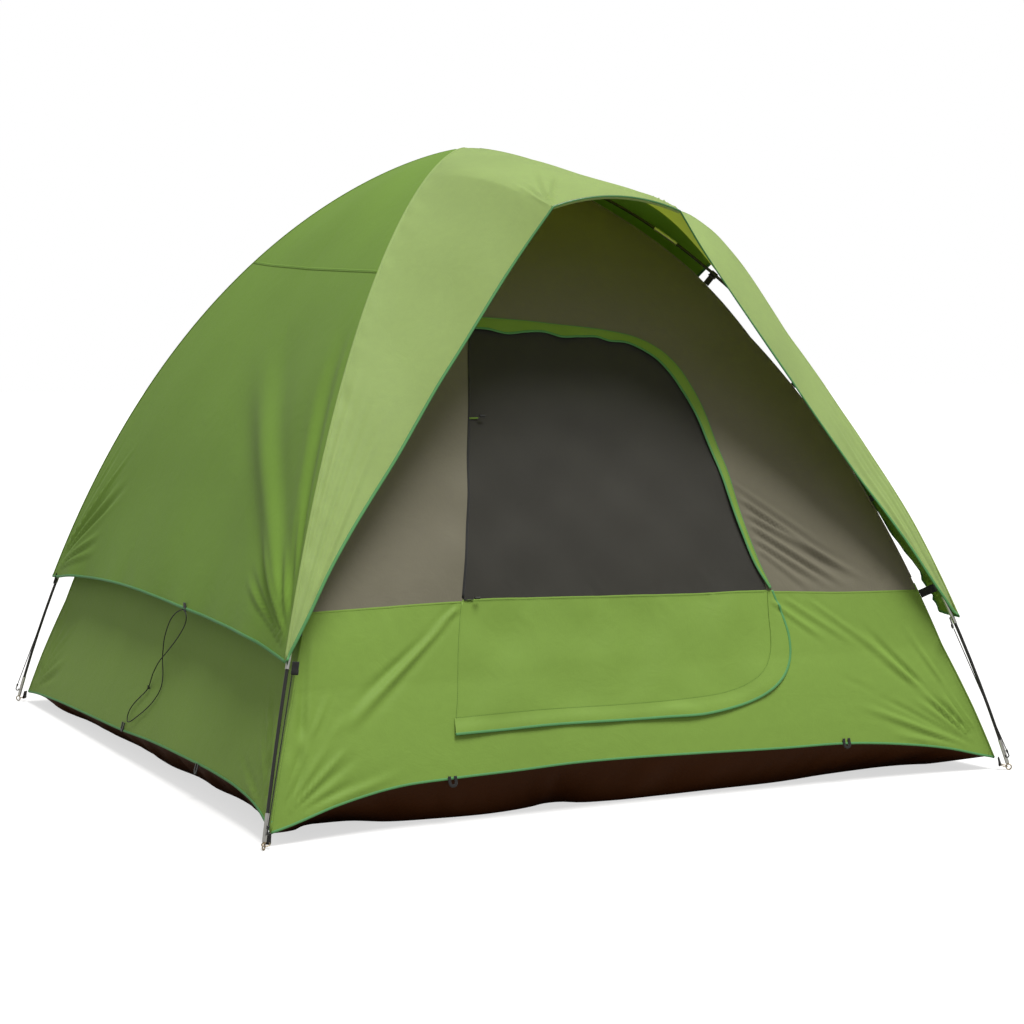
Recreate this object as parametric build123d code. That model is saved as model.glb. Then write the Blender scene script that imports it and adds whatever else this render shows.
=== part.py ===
from build123d import *
import os
import math
import numpy as np

# Two-pole square dome tent with a bathtub floor and a full rain fly.
# Origin at the centre of the footprint on the ground, +Z up,
# the doorway faces -Y.  All lengths in millimetres.

# ---------------------------------------------------------------- dimensions
HALF_X = 1200.0          # pole foot half spacing across the front
HALF_Y = 1320.0          # pole foot half spacing front to back
APEX_Z = 1918.0          # height of the pole centre lines at the crossing
FOOT_ANGLE = 71.66       # lean of the poles at the ground, degrees
FOOT_PULL = 1771.0       # how far the foot direction shapes the pole
TOP_PULL = 169.0         # how far the level top shapes the pole

POLE_R = 4.75            # fibreglass pole outer radius
POLE_BORE = 3.0          # pole bore radius
SECTIONS = 11            # sections in one pole
FERRULE_R = 6.1          # steel ferrule outer radius
FERRULE_LEN = 90.0       # ferrule length
TIP_R = 5.9              # end tip outer radius
TIP_LEN = 72.0           # end tip length
POLE_START = 24.0        # pole end above the ground, measured along the pole
CROSS_RISE = 5.4         # each pole moves this much up or down at the crossing
SHOCK_R = 1.2           # shock cord radius

CLOTH = 2.5              # thickness of every fabric solid
FLY_OUT = 20.0           # fly outer face outside the pole centre line
SEAM_Z = 567.0           # height of the wall's colour seam
ROOF_Z = 1780.0          # where the roof mesh starts
HEM_MID, HEM_CORNER = 135.0, 42.0      # front and back hem heights
SIDE_MID = 100.0                       # side hem height
BIND_W = 7.0             # width of the hem binding
FLOOR_X, FLOOR_Y = 1060.0, 1160.0      # floor half size on the ground
FLY_HEM, FLY_BOW = 467.0, 50.0         # fly hem at the corners, rise at mid side
BROW_X, BROW_Y, BROW_Z = 208.0, -1010.0, 1680.0   # ends of the brow pole
BROW_RISE = 36.0         # brow arch
CLIP_Z = [555.0, 850.0, 1205.0, 1515.0]           # pole clips up each corner
DOOR_OPEN = 80.0

R = math.hypot(HALF_X, HALF_Y)
UX, UY = HALF_X / R, HALF_Y / R
os.makedirs("parts", exist_ok=True)


# ---------------------------------------------------------------- curves
def bezier(t):
    a = math.radians(FOOT_ANGLE)
    p = [(R, 0.0), (R - FOOT_PULL * math.cos(a), FOOT_PULL * math.sin(a)), (TOP_PULL, APEX_Z), (0.0, APEX_Z)]
    b = [(1 - t) ** 3, 3 * (1 - t) ** 2 * t, 3 * (1 - t) * t * t, t ** 3]
    return sum(b[i] * p[i][0] for i in range(4)), sum(b[i] * p[i][1] for i in range(4))


T = np.linspace(0.0, 1.0, 1601)
PR, PZ = bezier(T)
DR, DZ = np.gradient(PR), np.gradient(PZ)
DL = np.hypot(DR, DZ)
TR, TZ = DR / DL, DZ / DL                     # tangent, foot to apex
PS = np.concatenate([[0.0], np.cumsum(np.hypot(np.diff(PR), np.diff(PZ)))])
HALF_LEN = float(PS[-1])

GAP = np.interp(PZ, [0, 200, 400, 1360, 1460, 1560, 1760, 1850, 1950], [30, 45, 65, 65, 50, 38, 30, 18, 15])
ER, EZ = PR - GAP * TZ, PZ + GAP * TR         # inner tent corner edge
FR, FZ = PR + FLY_OUT * TZ, PZ - FLY_OUT * TR  # fly ridge, outer face


def body_r(z):
    return float(np.interp(z, EZ, ER))


def fly_r(z):
    return float(np.interp(z, FZ[:], FR[:]))


def pole_at(s, sign, side):
    """Point and tangent on a pole; s is the length from one foot, sign the
    pole's rise at the crossing, side (+1 or -1) the half of the pole."""
    r = float(np.interp(s, PS, PR))
    z = float(np.interp(s, PS, PZ))
    z += sign * CROSS_RISE * math.exp(-(r / 420.0) ** 2)
    return r, z


def pole_point(s, dx, dy, sign):
    """s runs 0..2*HALF_LEN from the foot at (dx, dy) to the opposite foot."""
    if s <= HALF_LEN:
        r, z = pole_at(s, sign, 1)
    else:
        r, z = pole_at(2 * HALF_LEN - s, sign, -1)
        r = -r
    return Vector(r * UX * dx, r * UY * dy, z)


# ---------------------------------------------------------------- helpers
def write(name, shape):
    solids = shape if isinstance(shape, list) else [shape]
    out = []
    for s in solids:
        out += list(s.solids())
    res = out[0] if len(out) == 1 else Compound(children=out)
    export_step(res, f"parts/{name}.step")
    vol = sum(s.volume for s in out)
    print(f"{name}: {len(out)} solids, {vol/1000:.1f} cm3")


def tri_face(a, b, c):
    return Face(Wire.make_polygon([Vector(*a), Vector(*b), Vector(*c)], close=True))


def thick(rows, off, closed=False):
    """Closed solid from a grid of points (rows of equal length) and a matching
    grid of offset vectors to the other face."""
    P = np.array(rows, float)
    Q = P + np.array(off, float)
    n, m = P.shape[:2]
    tris = []

    def quad(a, b, c, d):
        a, b, c, d = map(np.asarray, (a, b, c, d))
        for t in ((a, b, c), (a, c, d)):
            ar = np.linalg.norm(np.cross(t[1] - t[0], t[2] - t[0]))
            if ar > 1e-3:
                tris.append(t)

    for i in range(n - 1):
        for j in range(m - 1):
            quad(P[i, j], P[i + 1, j], P[i + 1, j + 1], P[i, j + 1])
            quad(Q[i, j], Q[i, j + 1], Q[i + 1, j + 1], Q[i + 1, j])
    for i in range(n - 1):
        quad(P[i, 0], Q[i, 0], Q[i + 1, 0], P[i + 1, 0])
        quad(P[i, m - 1], P[i + 1, m - 1], Q[i + 1, m - 1], Q[i, m - 1])
    for j in range(m - 1):
        quad(P[0, j], P[0, j + 1], Q[0, j + 1], Q[0, j])
        quad(P[n - 1, j], Q[n - 1, j], Q[n - 1, j + 1], P[n - 1, j + 1])
    s = Solid(Shell([tri_face(*t) for t in tris]))
    if s.volume < 0:
        s = Solid(Shell([tri_face(t[0], t[2], t[1]) for t in tris]))
    return s


def prism(pts, axis, lo, hi):
    """Extrude a polygon along one axis.  axis 'x': points are (y, z);
    'y': points are (x, z); 'z': points are (x, y)."""
    if axis == "x":
        v = [Vector(lo, a, b) for a, b in pts]
        d = Vector(hi - lo, 0, 0)
    elif axis == "y":
        v = [Vector(a, lo, b) for a, b in pts]
        d = Vector(0, hi - lo, 0)
    else:
        v = [Vector(a, b, lo) for a, b in pts]
        d = Vector(0, 0, hi - lo)
    return Solid.extrude(Face(Wire.make_polygon(v, close=True)), d)


def profile(table_r, table_z, k, z_list, t):
    """Closed (h, z) ribbon: outer line through the table at z_list, inner line
    t inside it.  k scales the diagonal radius to the wall's own axis."""
    out = [(float(np.interp(z, table_z, table_r)) * k, z) for z in z_list]
    inn = []
    for i, (h, z) in enumerate(out):
        a = out[max(i - 1, 0)]
        b = out[min(i + 1, len(out) - 1)]
        dh, dz = b[0] - a[0], b[1] - a[1]
        ln = math.hypot(dh, dz)
        inn.append((h - t * dz / ln, z + t * dh / ln))
    return out, inn


BODY_ZS = [0.0, 60, 150, 260, 380, 480, 567, 680, 800, 920, 1040, 1150, 1250, 1352, 1440, 1520, 1585, 1640,
           1700, 1755, 1800, 1840, 1870, 1890, 1899.5]
FLY_ZS = [430.0, 520, 640, 760, 880, 1000, 1110, 1210, 1300, 1390, 1470, 1540, 1610, 1670, 1725, 1770, 1810,
          1842, 1868, 1889, 1905, 1917, 1926, 1932, 1936, 1937.6]


def web(kind, zs, t):
    """Four mitred curved walls of a groined dome: dict front/back/left/right."""
    tr, tz = (ER, EZ) if kind == "body" else (FR, FZ)
    top = float(tz[-1])
    walls = {}
    for name, k, ax in (("front", UY, "x"), ("left", UX, "y")):
        out, inn = profile(tr, tz, k, zs, t)
        out = out + [(0.0, top)]
        inn = inn + [(0.0, top - t)]
        ring = out + inn[::-1]
        if name == "front":
            s = prism([(-h, z) for h, z in ring], "x", -1500, 1500)
            wedge = prism([(0, 0), (-1.15 * HALF_X * 2, -1.15 * HALF_Y * 2), (1.15 * HALF_X * 2, -1.15 * HALF_Y * 2)], "z", -50, 2100)
            s = s & wedge
            walls["front"] = s
            walls["back"] = s.mirror(Plane.XZ)
        else:
            s = prism([(-h, z) for h, z in ring], "y", -1500, 1500)
            wedge = prism([(0, 0), (-1.15 * HALF_X * 2, -1.15 * HALF_Y * 2), (-1.15 * HALF_X * 2, 1.15 * HALF_Y * 2)], "z", -50, 2100)
            s = s & wedge
            walls["left"] = s
            walls["right"] = s.mirror(Plane.YZ)
    return walls


def hem_z(u, half, mid, corner):
    q = min(abs(u) / half, 1.15)
    return corner + (mid - corner) * (1 - q ** 4)


def side_hem(y):
    return hem_z(y, 1289.0, SIDE_MID, HEM_CORNER)


def front_hem(x):
    return hem_z(x, 1172.0, HEM_MID, HEM_CORNER)


def band(f_lo, f_hi, half, axis, n=24):
    """Prism between two height curves across a wall."""
    us = np.linspace(-half, half, n + 1)
    lo = [(float(u), f_lo(u)) for u in us] if callable(f_lo) else [(-half, f_lo), (half, f_lo)]
    hi = [(float(u), f_hi(u)) for u in us] if callable(f_hi) else [(-half, f_hi), (half, f_hi)]
    return prism(lo + hi[::-1], axis, -1600, 1600)


# ---------------------------------------------------------------- poles
sec_len = (2 * HALF_LEN - 2 * POLE_START) / SECTIONS


def arc_tube(p, ro, ri):
    e = Edge.make_three_point_arc(p[0], p[1], p[2])
    pl = Plane(origin=e @ 0, z_dir=e % 0)
    f = Face(Wire.make_circle(ro, pl))
    if ri:
        f = Face(Wire.make_circle(ro, pl), [Wire.make_circle(ri, pl)])
    return Solid.sweep(f, e)


POLES = {"pole_a": (-1, -1, 1), "pole_b": (1, -1, -1)}   # foot x, foot y, rise sign
for pname, (dx, dy, sg) in POLES.items():
    secs, fers, tips = [], [], []
    for i in range(SECTIONS):
        a = POLE_START + i * sec_len
        b = a + sec_len
        secs.append(arc_tube([pole_point(s, dx, dy, sg) for s in (a, (a + b) / 2, b)], POLE_R, POLE_BORE))
        if i:
            fers.append(arc_tube([pole_point(s, dx, dy, sg) for s in (a - FERRULE_LEN / 2, a, a + FERRULE_LEN / 2)],
                                 FERRULE_R, POLE_R - 0.05))
    for a, b in ((POLE_START - 1.5, POLE_START + TIP_LEN), (2 * HALF_LEN - POLE_START - TIP_LEN, 2 * HALF_LEN - POLE_START + 1.5)):
        tips.append(arc_tube([pole_point(s, dx, dy, sg) for s in (a, (a + b) / 2, b)], TIP_R, POLE_R - 0.05))
    write(f"{pname}_sections", secs)
    write(f"{pname}_ferrules", fers)
    write(f"{pname}_end_tips", tips)
    # shock cord: straight runs and tangent arcs inside the bore
    pts = []
    for i in range(SECTIONS):
        a = POLE_START + i * sec_len
        e = Edge.make_three_point_arc(*[pole_point(s, dx, dy, sg) for s in (a, a + sec_len / 2, a + sec_len)])
        for k in range(8):
            pts.append(e @ ((k + 0.5) / 8))
    pts = pts[1:-1]
    n = len(pts) - 1
    rad = []
    for i in range(1, n):
        u, v = pts[i] - pts[i - 1], pts[i + 1] - pts[i]
        turn = math.radians(u.get_angle(v))
        rad.append(0.45 * min(u.length, v.length) / math.tan(turn / 2) if turn > 1e-5 else 1e5)
    print(f"{pname} shock cord arc radii mm: {min(rad):.0f} to {max(rad):.0f}")
    path = FilletPolyline(*pts, radius=rad)
    sec = Face(Wire.make_circle(SHOCK_R, Plane(origin=path @ 0, z_dir=path % 0)))
    shock = Solid.sweep(sec, path.wire() if hasattr(path, "wire") else path)
    print(f"  volume check {shock.volume / (math.pi * SHOCK_R ** 2 * path.length):.4f}")
    write(f"{pname}_shock_cord", shock)

# ---------------------------------------------------------------- feet
CORNERS = {"fl": (-1, -1), "fr": (1, -1), "bl": (-1, 1), "br": (1, 1)}
pins, rings, straps = [], [], []
for c, (dx, dy) in CORNERS.items():
    out = Vector(UX * dx, UY * dy, 0)
    lat = Vector(-UY * dy, UX * dx, 0) * (dx * dy)
    foot = pole_point(POLE_START, dx, dy, 0)
    up = (pole_point(POLE_START + 60, dx, dy, 0) - foot).normalized()
    # the eye stands in the corner's diagonal plane with its lowest point on the ground
    eye_c = Vector(foot.X, foot.Y, 9.9) - Vector(up.X, up.Y, 0) * 14
    eye = Solid.make_torus(8.0, 1.9, Plane(origin=eye_c, z_dir=lat))
    stem0 = eye_c + up * 8.2
    stem = Solid.make_cylinder(2.1, (foot - stem0).length + 55, Plane(origin=stem0, z_dir=up))
    collar = Solid.make_cylinder(4.6, 3.0, Plane(origin=foot - up * 4.8, z_dir=up))
    pins.append(eye + stem + collar)
    ring_c = eye_c - out * 15.0 + Vector(0, 0, 3.0)
    rings.append(Solid.make_torus(11.0, 1.5, Plane(origin=ring_c, z_dir=(out * 0.25 + Vector(0, 0, 1)).normalized())))
    # flat webbing from the ring to the floor corner, with an eyelet
    w0 = ring_c - out * 11.0
    hx = Vector(dx * 1172.0 * 1.004, dy * 1289.0 * 1.004, HEM_CORNER - 4)
    d = (hx - w0)
    base = Plane(origin=w0, x_dir=d.normalized(), z_dir=(Vector(0, 0, 1) - d.normalized() * d.normalized().Z).normalized())
    strap = Solid.make_box(d.length + 8.5, 18, 1.6, Plane(origin=base.from_local_coords(Vector(-8.5, -9, -0.8)), x_dir=base.x_dir, z_dir=base.z_dir))
    hole = Solid.make_cylinder(5.6, 12, Plane(origin=base.from_local_coords(Vector(0, 0, -6)), z_dir=base.z_dir))
    straps.append(strap - hole)
write("foot_pins", pins)
write("foot_rings", rings)
write("corner_webbing", straps)

# ---------------------------------------------------------------- inner tent
bw = web("body", BODY_ZS, CLOTH)
low_front = band(front_hem, SEAM_Z, 1400, "y")
up_front = band(SEAM_Z, ROOF_Z, 1400, "y")
low_side = band(side_hem, SEAM_Z, 1500, "x")
up_side = band(SEAM_Z, ROOF_Z, 1500, "x")

# doorway outline in (x, z), anticlockwise from the lower hinge corner
DOOR = [(-611, 250), (-450, 250), (-250, 250), (0, 250), (170, 254), (270, 262), (350, 275), (402, 292), (444, 316),
        (477, 348), (497, 388), (503, 450), (492, 502), (472, 560), (455, 640), (436, 740), (418, 850), (402, 960),
        (376, 1100), (341, 1205), (312, 1252), (268, 1288), (214, 1311), (145, 1327), (60, 1338), (-40, 1346),
        (-190, 1353), (-309, 1357), (-334, 1302), (-370, 1189), (-401, 1079), (-433, 964), (-463, 839), (-494, 719),
        (-526, 591), (-556, 480), (-588, 325)]


def inset(poly, d):
    p = np.array(poly, float)
    n = len(p)
    res = []
    for i in range(n):
        a, b, c = p[i - 1], p[i], p[(i + 1) % n]
        e1, e2 = (b - a) / np.linalg.norm(b - a), (c - b) / np.linalg.norm(c - b)
        n1, n2 = np.array([-e1[1], e1[0]]), np.array([-e2[1], e2[0]])
        m = n1 + n2
        m /= np.linalg.norm(m)
        res.append(tuple(b + m * d / max(m @ n1, 0.5)))
    return res


hole = prism(DOOR, "y", -1500, -300)
door_in = [list(q) for q in inset(DOOR, 1.6)]
for q in door_in:                      # more room under the door for its hinge corner
    if q[1] < 262 and q[0] < 200:
        q[1] = 255.0
leaf = prism([tuple(q) for q in door_in], "y", -1500, -300)

front_lower = (bw["front"] & low_front) - hole
front_upper = (bw["front"] & up_front) - hole
write("front_wall_lower", front_lower)
write("front_wall_upper", front_upper)
door_all = bw["front"] & leaf
door_low = door_all & prism([(-1400, 100), (1400, 100), (1400, SEAM_Z + 6), (-1400, SEAM_Z + 6)], "y", -1600, 0)
door_win = door_all & prism([(-1400, SEAM_Z + 6), (1400, SEAM_Z + 6), (1400, 1500), (-1400, 1500)], "y", -1600, 0)
write("door_lower_panel", door_low)
write("door_mesh_window", door_win)
for side in ("left", "right"):
    write(f"{side}_wall_lower", bw[side] & low_side)
    write(f"{side}_wall_upper", bw[side] & up_side)
write("back_wall_lower", bw["back"] & low_front)
write("back_wall_upper", bw["back"] & up_front)
roof = None
for n_ in ("front", "left", "back", "right"):
    s = bw[n_] & Solid.make_box(3000, 3000, 600, Plane(origin=(-1500, -1500, ROOF_Z)))
    roof = s if roof is None else roof + s
write("roof_mesh", roof)
fb = band(lambda u: front_hem(u) - BIND_W, front_hem, 1400, "y")
sb = band(lambda u: side_hem(u) - BIND_W, side_hem, 1500, "x")
write("floor_seam_binding", [bw["front"] & fb, bw["back"] & fb, bw["left"] & sb, bw["right"] & sb])

# bathtub floor: flat ground sheet with sloping sides up to the seam binding
NS = 10
top_o, gnd = [], []


def wall_pt(side, u):
    if side == "front":
        z = front_hem(u) - BIND_W - 0.05
        return (u, -body_r(z) * UY, z)
    if side == "back":
        z = front_hem(u) - BIND_W - 0.05
        return (u, body_r(z) * UY, z)
    z = side_hem(u) - BIND_W - 0.05
    x = body_r(z) * UX
    return (-x, u, z) if side == "left" else (x, u, z)


zc = HEM_CORNER - BIND_W
xc, yc = body_r(zc) * UX, body_r(zc) * UY
fr_ = np.linspace(-1, 1, NS + 1)[:-1]
for f in fr_:
    p = wall_pt("front", f * xc)
    top_o.append(p); gnd.append((f * FLOOR_X, -FLOOR_Y, 0.0))
for f in fr_:
    p = wall_pt("right", f * yc)
    top_o.append(p); gnd.append((FLOOR_X, f * FLOOR_Y, 0.0))
for f in fr_:
    p = wall_pt("back", -f * xc)
    top_o.append(p); gnd.append((-f * FLOOR_X, FLOOR_Y, 0.0))
for f in fr_:
    p = wall_pt("left", -f * yc)
    top_o.append(p); gnd.append((-FLOOR_X, -f * FLOOR_Y, 0.0))
N4 = len(gnd)
top_i = [(p[0] * (1 - 2.6 / max(abs(p[0]), abs(p[1]))), p[1] * (1 - 2.6 / max(abs(p[0]), abs(p[1]))), p[2]) for p in top_o]
gnd_i = [(p[0] * (1 - 4.5 / FLOOR_X), p[1] * (1 - 4.5 / FLOOR_Y), CLOTH) for p in gnd]
tris = []
for i in range(N4):
    j = (i + 1) % N4
    tris += [(top_o[i], gnd[i], gnd[j]), (top_o[i], gnd[j], top_o[j]),
             (top_i[i], gnd_i[j], gnd_i[i]), (top_i[i], top_i[j], gnd_i[j]),
             (top_o[i], top_o[j], top_i[j]), (top_o[i], top_i[j], top_i[i])]
faces = [tri_face(*t) for t in tris]
faces.append(Face(Wire.make_polygon([Vector(*p) for p in gnd[::-1]], close=True)))
faces.append(Face(Wire.make_polygon([Vector(*p) for p in gnd_i], close=True)))
floor = Solid(Shell(faces))
write("floor_tub", floor)

# ---------------------------------------------------------------- door details
def wall_frame(z):
    """Outward normal (y, z) of the front wall at a height."""
    a, b = body_r(z - 15) * UY, body_r(z + 15) * UY
    dy, dz = -(b - a), 30.0             # y = -body: moves by dy while z rises 30
    ln = math.hypot(dy, dz)
    return (-dz / ln, dy / ln)


def on_wall(x, z, off):
    ny, nz = wall_frame(z)
    return np.array([x, -body_r(z) * UY + ny * off, z + nz * off])


def strip(rows, t):
    """rows: list of rows of (x, z, outward offset of the near face)."""
    P = [[on_wall(*q) for q in row] for row in rows]
    O = [[np.array([0.0, wall_frame(q[1])[0] * t, wall_frame(q[1])[1] * t]) for q in row] for row in rows]
    return thick(P, O)


# upper storm flap over the zip, with a bound free edge
UP_OUT = [(-311, 1374), (-275, 1373), (-141, 1367), (-40, 1358), (52, 1349), (140, 1338), (217, 1323), (275, 1301),
          (322, 1268), (352, 1225), (372, 1170), (390, 1100), (404, 1020), (414, 940), (425, 840), (440, 740),
          (462, 640), (486, 562)]
UP_IN = [(-313, 1341), (-276, 1338), (-145, 1331), (-45, 1329), (42, 1322), (126, 1315), (196, 1302), (245, 1280),
         (285, 1250), (315, 1210), (338, 1158), (358, 1092), (375, 1015), (388, 935), (402, 838), (420, 738),
         (446, 638), (476, 560)]


def lerp_rows(a, b, f):
    return [(p[0] + (q[0] - p[0]) * f, p[1] + (q[1] - p[1]) * f) for p, q in zip(a, b)]


t2 = 1.6
edge_rows = lerp_rows(UP_OUT, UP_IN, 0.85)
write("door_flap_upper", strip([[(x, z, 3.4) for x, z in UP_OUT], [(x, z, 4.2) for x, z in lerp_rows(UP_OUT, UP_IN, 0.45)],
                                [(x, z, 4.4) for x, z in edge_rows]], t2))
upper_bind = strip([[(x, z, 4.2) for x, z in edge_rows], [(x, z, 4.2) for x, z in UP_IN]], 2.2)
# lower storm flap: stitched above, free edge below, stands proud of the zip
LO_IN = [(-607, 279), (-450, 281), (-300, 282), (-140, 279), (47, 278), (160, 281), (240, 286), (300, 296), (348, 310),
         (388, 330), (418, 356), (440, 392), (452, 440), (458, 492), (466, 552)]
LO_OUT = [(-614, 236), (-452, 238), (-300, 240), (-140, 237), (47, 234), (170, 233), (262, 243), (335, 257), (394, 276),
          (440, 300), (474, 328), (500, 366), (512, 420), (507, 484), (484, 552)]
low_edge = lerp_rows(LO_IN, LO_OUT, 0.88)
write("door_flap_lower", strip([[(x, z, 2.4) for x, z in LO_IN], [(x, z, 8.6) for x, z in lerp_rows(LO_IN, LO_OUT, 0.36)],
                                [(x, z, 9.2) for x, z in low_edge]], t2))
lower_bind = strip([[(x, z, 9.0) for x, z in low_edge], [(x, z, 9.0) for x, z in LO_OUT]], 2.2)
write("door_flap_binding", [upper_bind, lower_bind])

# hinge line: the straight line that touches the bowed hinge seam from outside
b_pt, t_pt = on_wall(-611, 250, 0.0), on_wall(-309, 1357, 0.0)
ax_dir = (t_pt - b_pt) / np.linalg.norm(t_pt - b_pt)
best = 0.0
for x, z in [(-334, 1302), (-370, 1189), (-401, 1079), (-433, 964), (-463, 839), (-494, 719), (-526, 591), (-556, 480), (-588, 325)]:
    p = on_wall(x, z, 0.0)
    line = b_pt + ax_dir * ((p - b_pt) @ ax_dir)
    best = max(best, float(line[1] - p[1]))
hinge_pos = (b_pt + t_pt) / 2 + np.array([0.0, -(best + 4.5), 0.0])
print("door hinge pos m", np.round(hinge_pos / 1000, 5).tolist(), "axis", np.round(ax_dir, 5).tolist(), "bow", round(best, 1))

# zip: coil tape on the wall beside the bottom run, slider and pull under the flap
ZX0, ZX1, ZZ = -585.0, 170.0, 246.0
tape = strip([[(x, ZZ - 5.5, 0.15) for x in np.linspace(-600, 170, 8)], [(x, ZZ + 2.5, 0.15) for x in np.linspace(-600, 170, 8)]], 1.2)
write("door_zip_tape", tape)
sl_x = 140.0
ny, nz = wall_frame(ZZ)
fr = Plane(origin=Vector(*on_wall(sl_x, ZZ, 1.8)), x_dir=(1, 0, 0), z_dir=(0, ny, nz))


def local_box(pl, x, y, z, lx, ly, lz):
    return Solid.make_box(lx, ly, lz, Plane(origin=pl.from_local_coords(Vector(x - lx / 2, y - ly / 2, z)), x_dir=pl.x_dir, z_dir=pl.z_dir))


slider = local_box(fr, 0, 0, 0, 13, 8.5, 3.4)
slider = slider.fillet(1.2, slider.edges().filter_by(lambda e: e.length < 3.6))
bridge = local_box(fr, 0, 0, 3.4, 6.5, 3.0, 1.5) - local_box(fr, 0, 0, 3.2, 3.2, 6.0, 0.9)
write("door_zip_slider", slider + bridge)
pull = local_box(fr, -19.5, 0, 3.6, 24, 6.6, 1.4) - local_box(fr, -28, 0, 3.0, 4, 3.4, 3)
write("door_zip_pull", pull)

# tie-back toggles on the hinge seam: elastic loop and a barrel toggle
loops, toggles = [], []
for x, z in ((-399, 1084), (-524, 588)):
    ny, nz = wall_frame(z)
    pl = Plane(origin=Vector(*on_wall(x + 3, z, 1.4)), x_dir=(1, 0, 0), z_dir=(0, ny, nz))
    bar = Solid.make_box(27, 5, 2.2, Plane(origin=pl.from_local_coords(Vector(0, -2.5, 0)), x_dir=pl.x_dir, z_dir=pl.z_dir))
    loops.append(bar)
    tg = Solid.make_cylinder(3.2, 17, Plane(origin=pl.from_local_coords(Vector(27.3, 0, 3.3)), z_dir=pl.x_dir))
    tg = tg.fillet(1.2, tg.edges().filter_by(GeomType.CIRCLE))
    toggles.append(tg)
write("toggle_loops", loops)
write("tie_back_toggles", toggles)

# stake loops along the hem: two per side
sloops = []
for side, us in (("front", (-640, 640)), ("back", (-640, 640)), ("left", (-640, 108)), ("right", (-640, 108))):
    for u in us:
        if side in ("front", "back"):
            z = front_hem(u) - BIND_W / 2
            sg = -1 if side == "front" else 1
            o = Vector(u, sg * (body_r(z) * UY + 0.4), z + 5)
            nrm = Vector(0, sg, 0.28).normalized()
            xd = Vector(1, 0, 0)
        else:
            z = side_hem(u) - BIND_W / 2
            sg = -1 if side == "left" else 1
            o = Vector(sg * (body_r(z) * UX + 0.4), u, z + 5)
            nrm = Vector(sg, 0, 0.28).normalized()
            xd = Vector(0, 1, 0)
        pl = Plane(origin=o, x_dir=xd, z_dir=nrm)
        dn = -1 if pl.y_dir.Z > 0 else 1
        blk = Solid.make_box(24, 30, 4.0, Plane(origin=pl.from_local_coords(Vector(-12, -15 + dn * 10, 0.3)), x_dir=pl.x_dir, z_dir=pl.z_dir))
        cut = Solid.make_box(13, 11, 12, Plane(origin=pl.from_local_coords(Vector(-6.5, -5.5 + dn * 17, -3)), x_dir=pl.x_dir, z_dir=pl.z_dir))
        sloops.append(blk - cut)
write("stake_loops", sloops)

# ---------------------------------------------------------------- pole clips
hooks, tabs = [], []
for dx, dy in CORNERS.values():
    for ci, zc_ in enumerate(CLIP_Z):
        i = int(np.argmin(abs(PZ - zc_)))
        r, z = float(PR[i]), float(PZ[i])
        tr, tz = float(TR[i]), float(TZ[i])
        out = Vector(tz * UX * dx, tz * UY * dy, -tr)        # outward normal in the diagonal plane
        tan = Vector(tr * UX * dx, tr * UY * dy, tz)
        c = Vector(r * UX * dx, r * UY * dy, z)
        pl = Plane(origin=c - tan * 11, x_dir=out, z_dir=tan)
        rin = FERRULE_R + 0.25 if False else POLE_R + 0.45
        ring = Solid.make_cylinder(7.9, 22, pl) - Solid.make_cylinder(rin, 30, Plane(origin=c - tan * 15, x_dir=out, z_dir=tan))
        mouth = Solid.make_box(20, 7.0, 30, Plane(origin=pl.from_local_coords(Vector(1.0, -3.5, -4)), x_dir=out, z_dir=tan))
        bar = Solid.make_box(5, 20, 22, Plane(origin=pl.from_local_coords(Vector(-12.2, -10, 0)), x_dir=out, z_dir=tan))
        h = (ring - mouth) + bar
        hooks.append(h)
        gap = float(GAP[i])
        w = 20 if ci else 26
        tabs.append(Solid.make_box(gap - 12.4 - 3.5, 1.8, w, Plane(origin=pl.from_local_coords(Vector(-(gap - 3.5), -0.9, 11 - w / 2)), x_dir=out, z_dir=tan)))
write("pole_clips", hooks)
write("clip_webbing", tabs)

# apex hub: disc under the crossing with four posts between the poles
hub = Solid.make_cylinder(30, 4.2, Plane(origin=(0, 0, 1902.6)))
for px, py in ((15, 0), (-15, 0), (0, 15), (0, -15)):
    hub = hub + Solid.make_cylinder(3.6, 18, Plane(origin=(px, py, 1904)))
write("apex_hub", hub)

# ---------------------------------------------------------------- rain fly
fw = web("fly", FLY_ZS, CLOTH)
YF, XF = fly_r(FLY_HEM) * UY, fly_r(FLY_HEM) * UX


def fly_side_hem(y):
    return FLY_HEM + FLY_BOW * (1 - min(abs(y) / YF, 1.1) ** 2)


def fly_back_hem(x):
    return FLY_HEM + FLY_BOW * (1 - min(abs(x) / XF, 1.1) ** 2)


FB = 9.0
fly_side = band(lambda u: fly_side_hem(u) + FB, 2100, 1500, "x")
fly_back = band(lambda u: fly_back_hem(u) + FB, 2100, 1500, "y")
write("fly_left_panel", fw["left"] & fly_side)
write("fly_back_panel", fw["back"] & fly_back)
# side vent cut-out of the right panel, in (y, z); strips stay along both ridges
CUT_Z = [400.0, 445, 485, 553, 650, 747, 862, 1043, 1226, 1403, 1460, 1510, 1535]
CUT_W = [40.0, 58, 79, 103, 128, 146, 152, 158, 138, 79, 60, 44, 30]


def ridge_y(z):
    return fly_r(z) * UY


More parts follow.
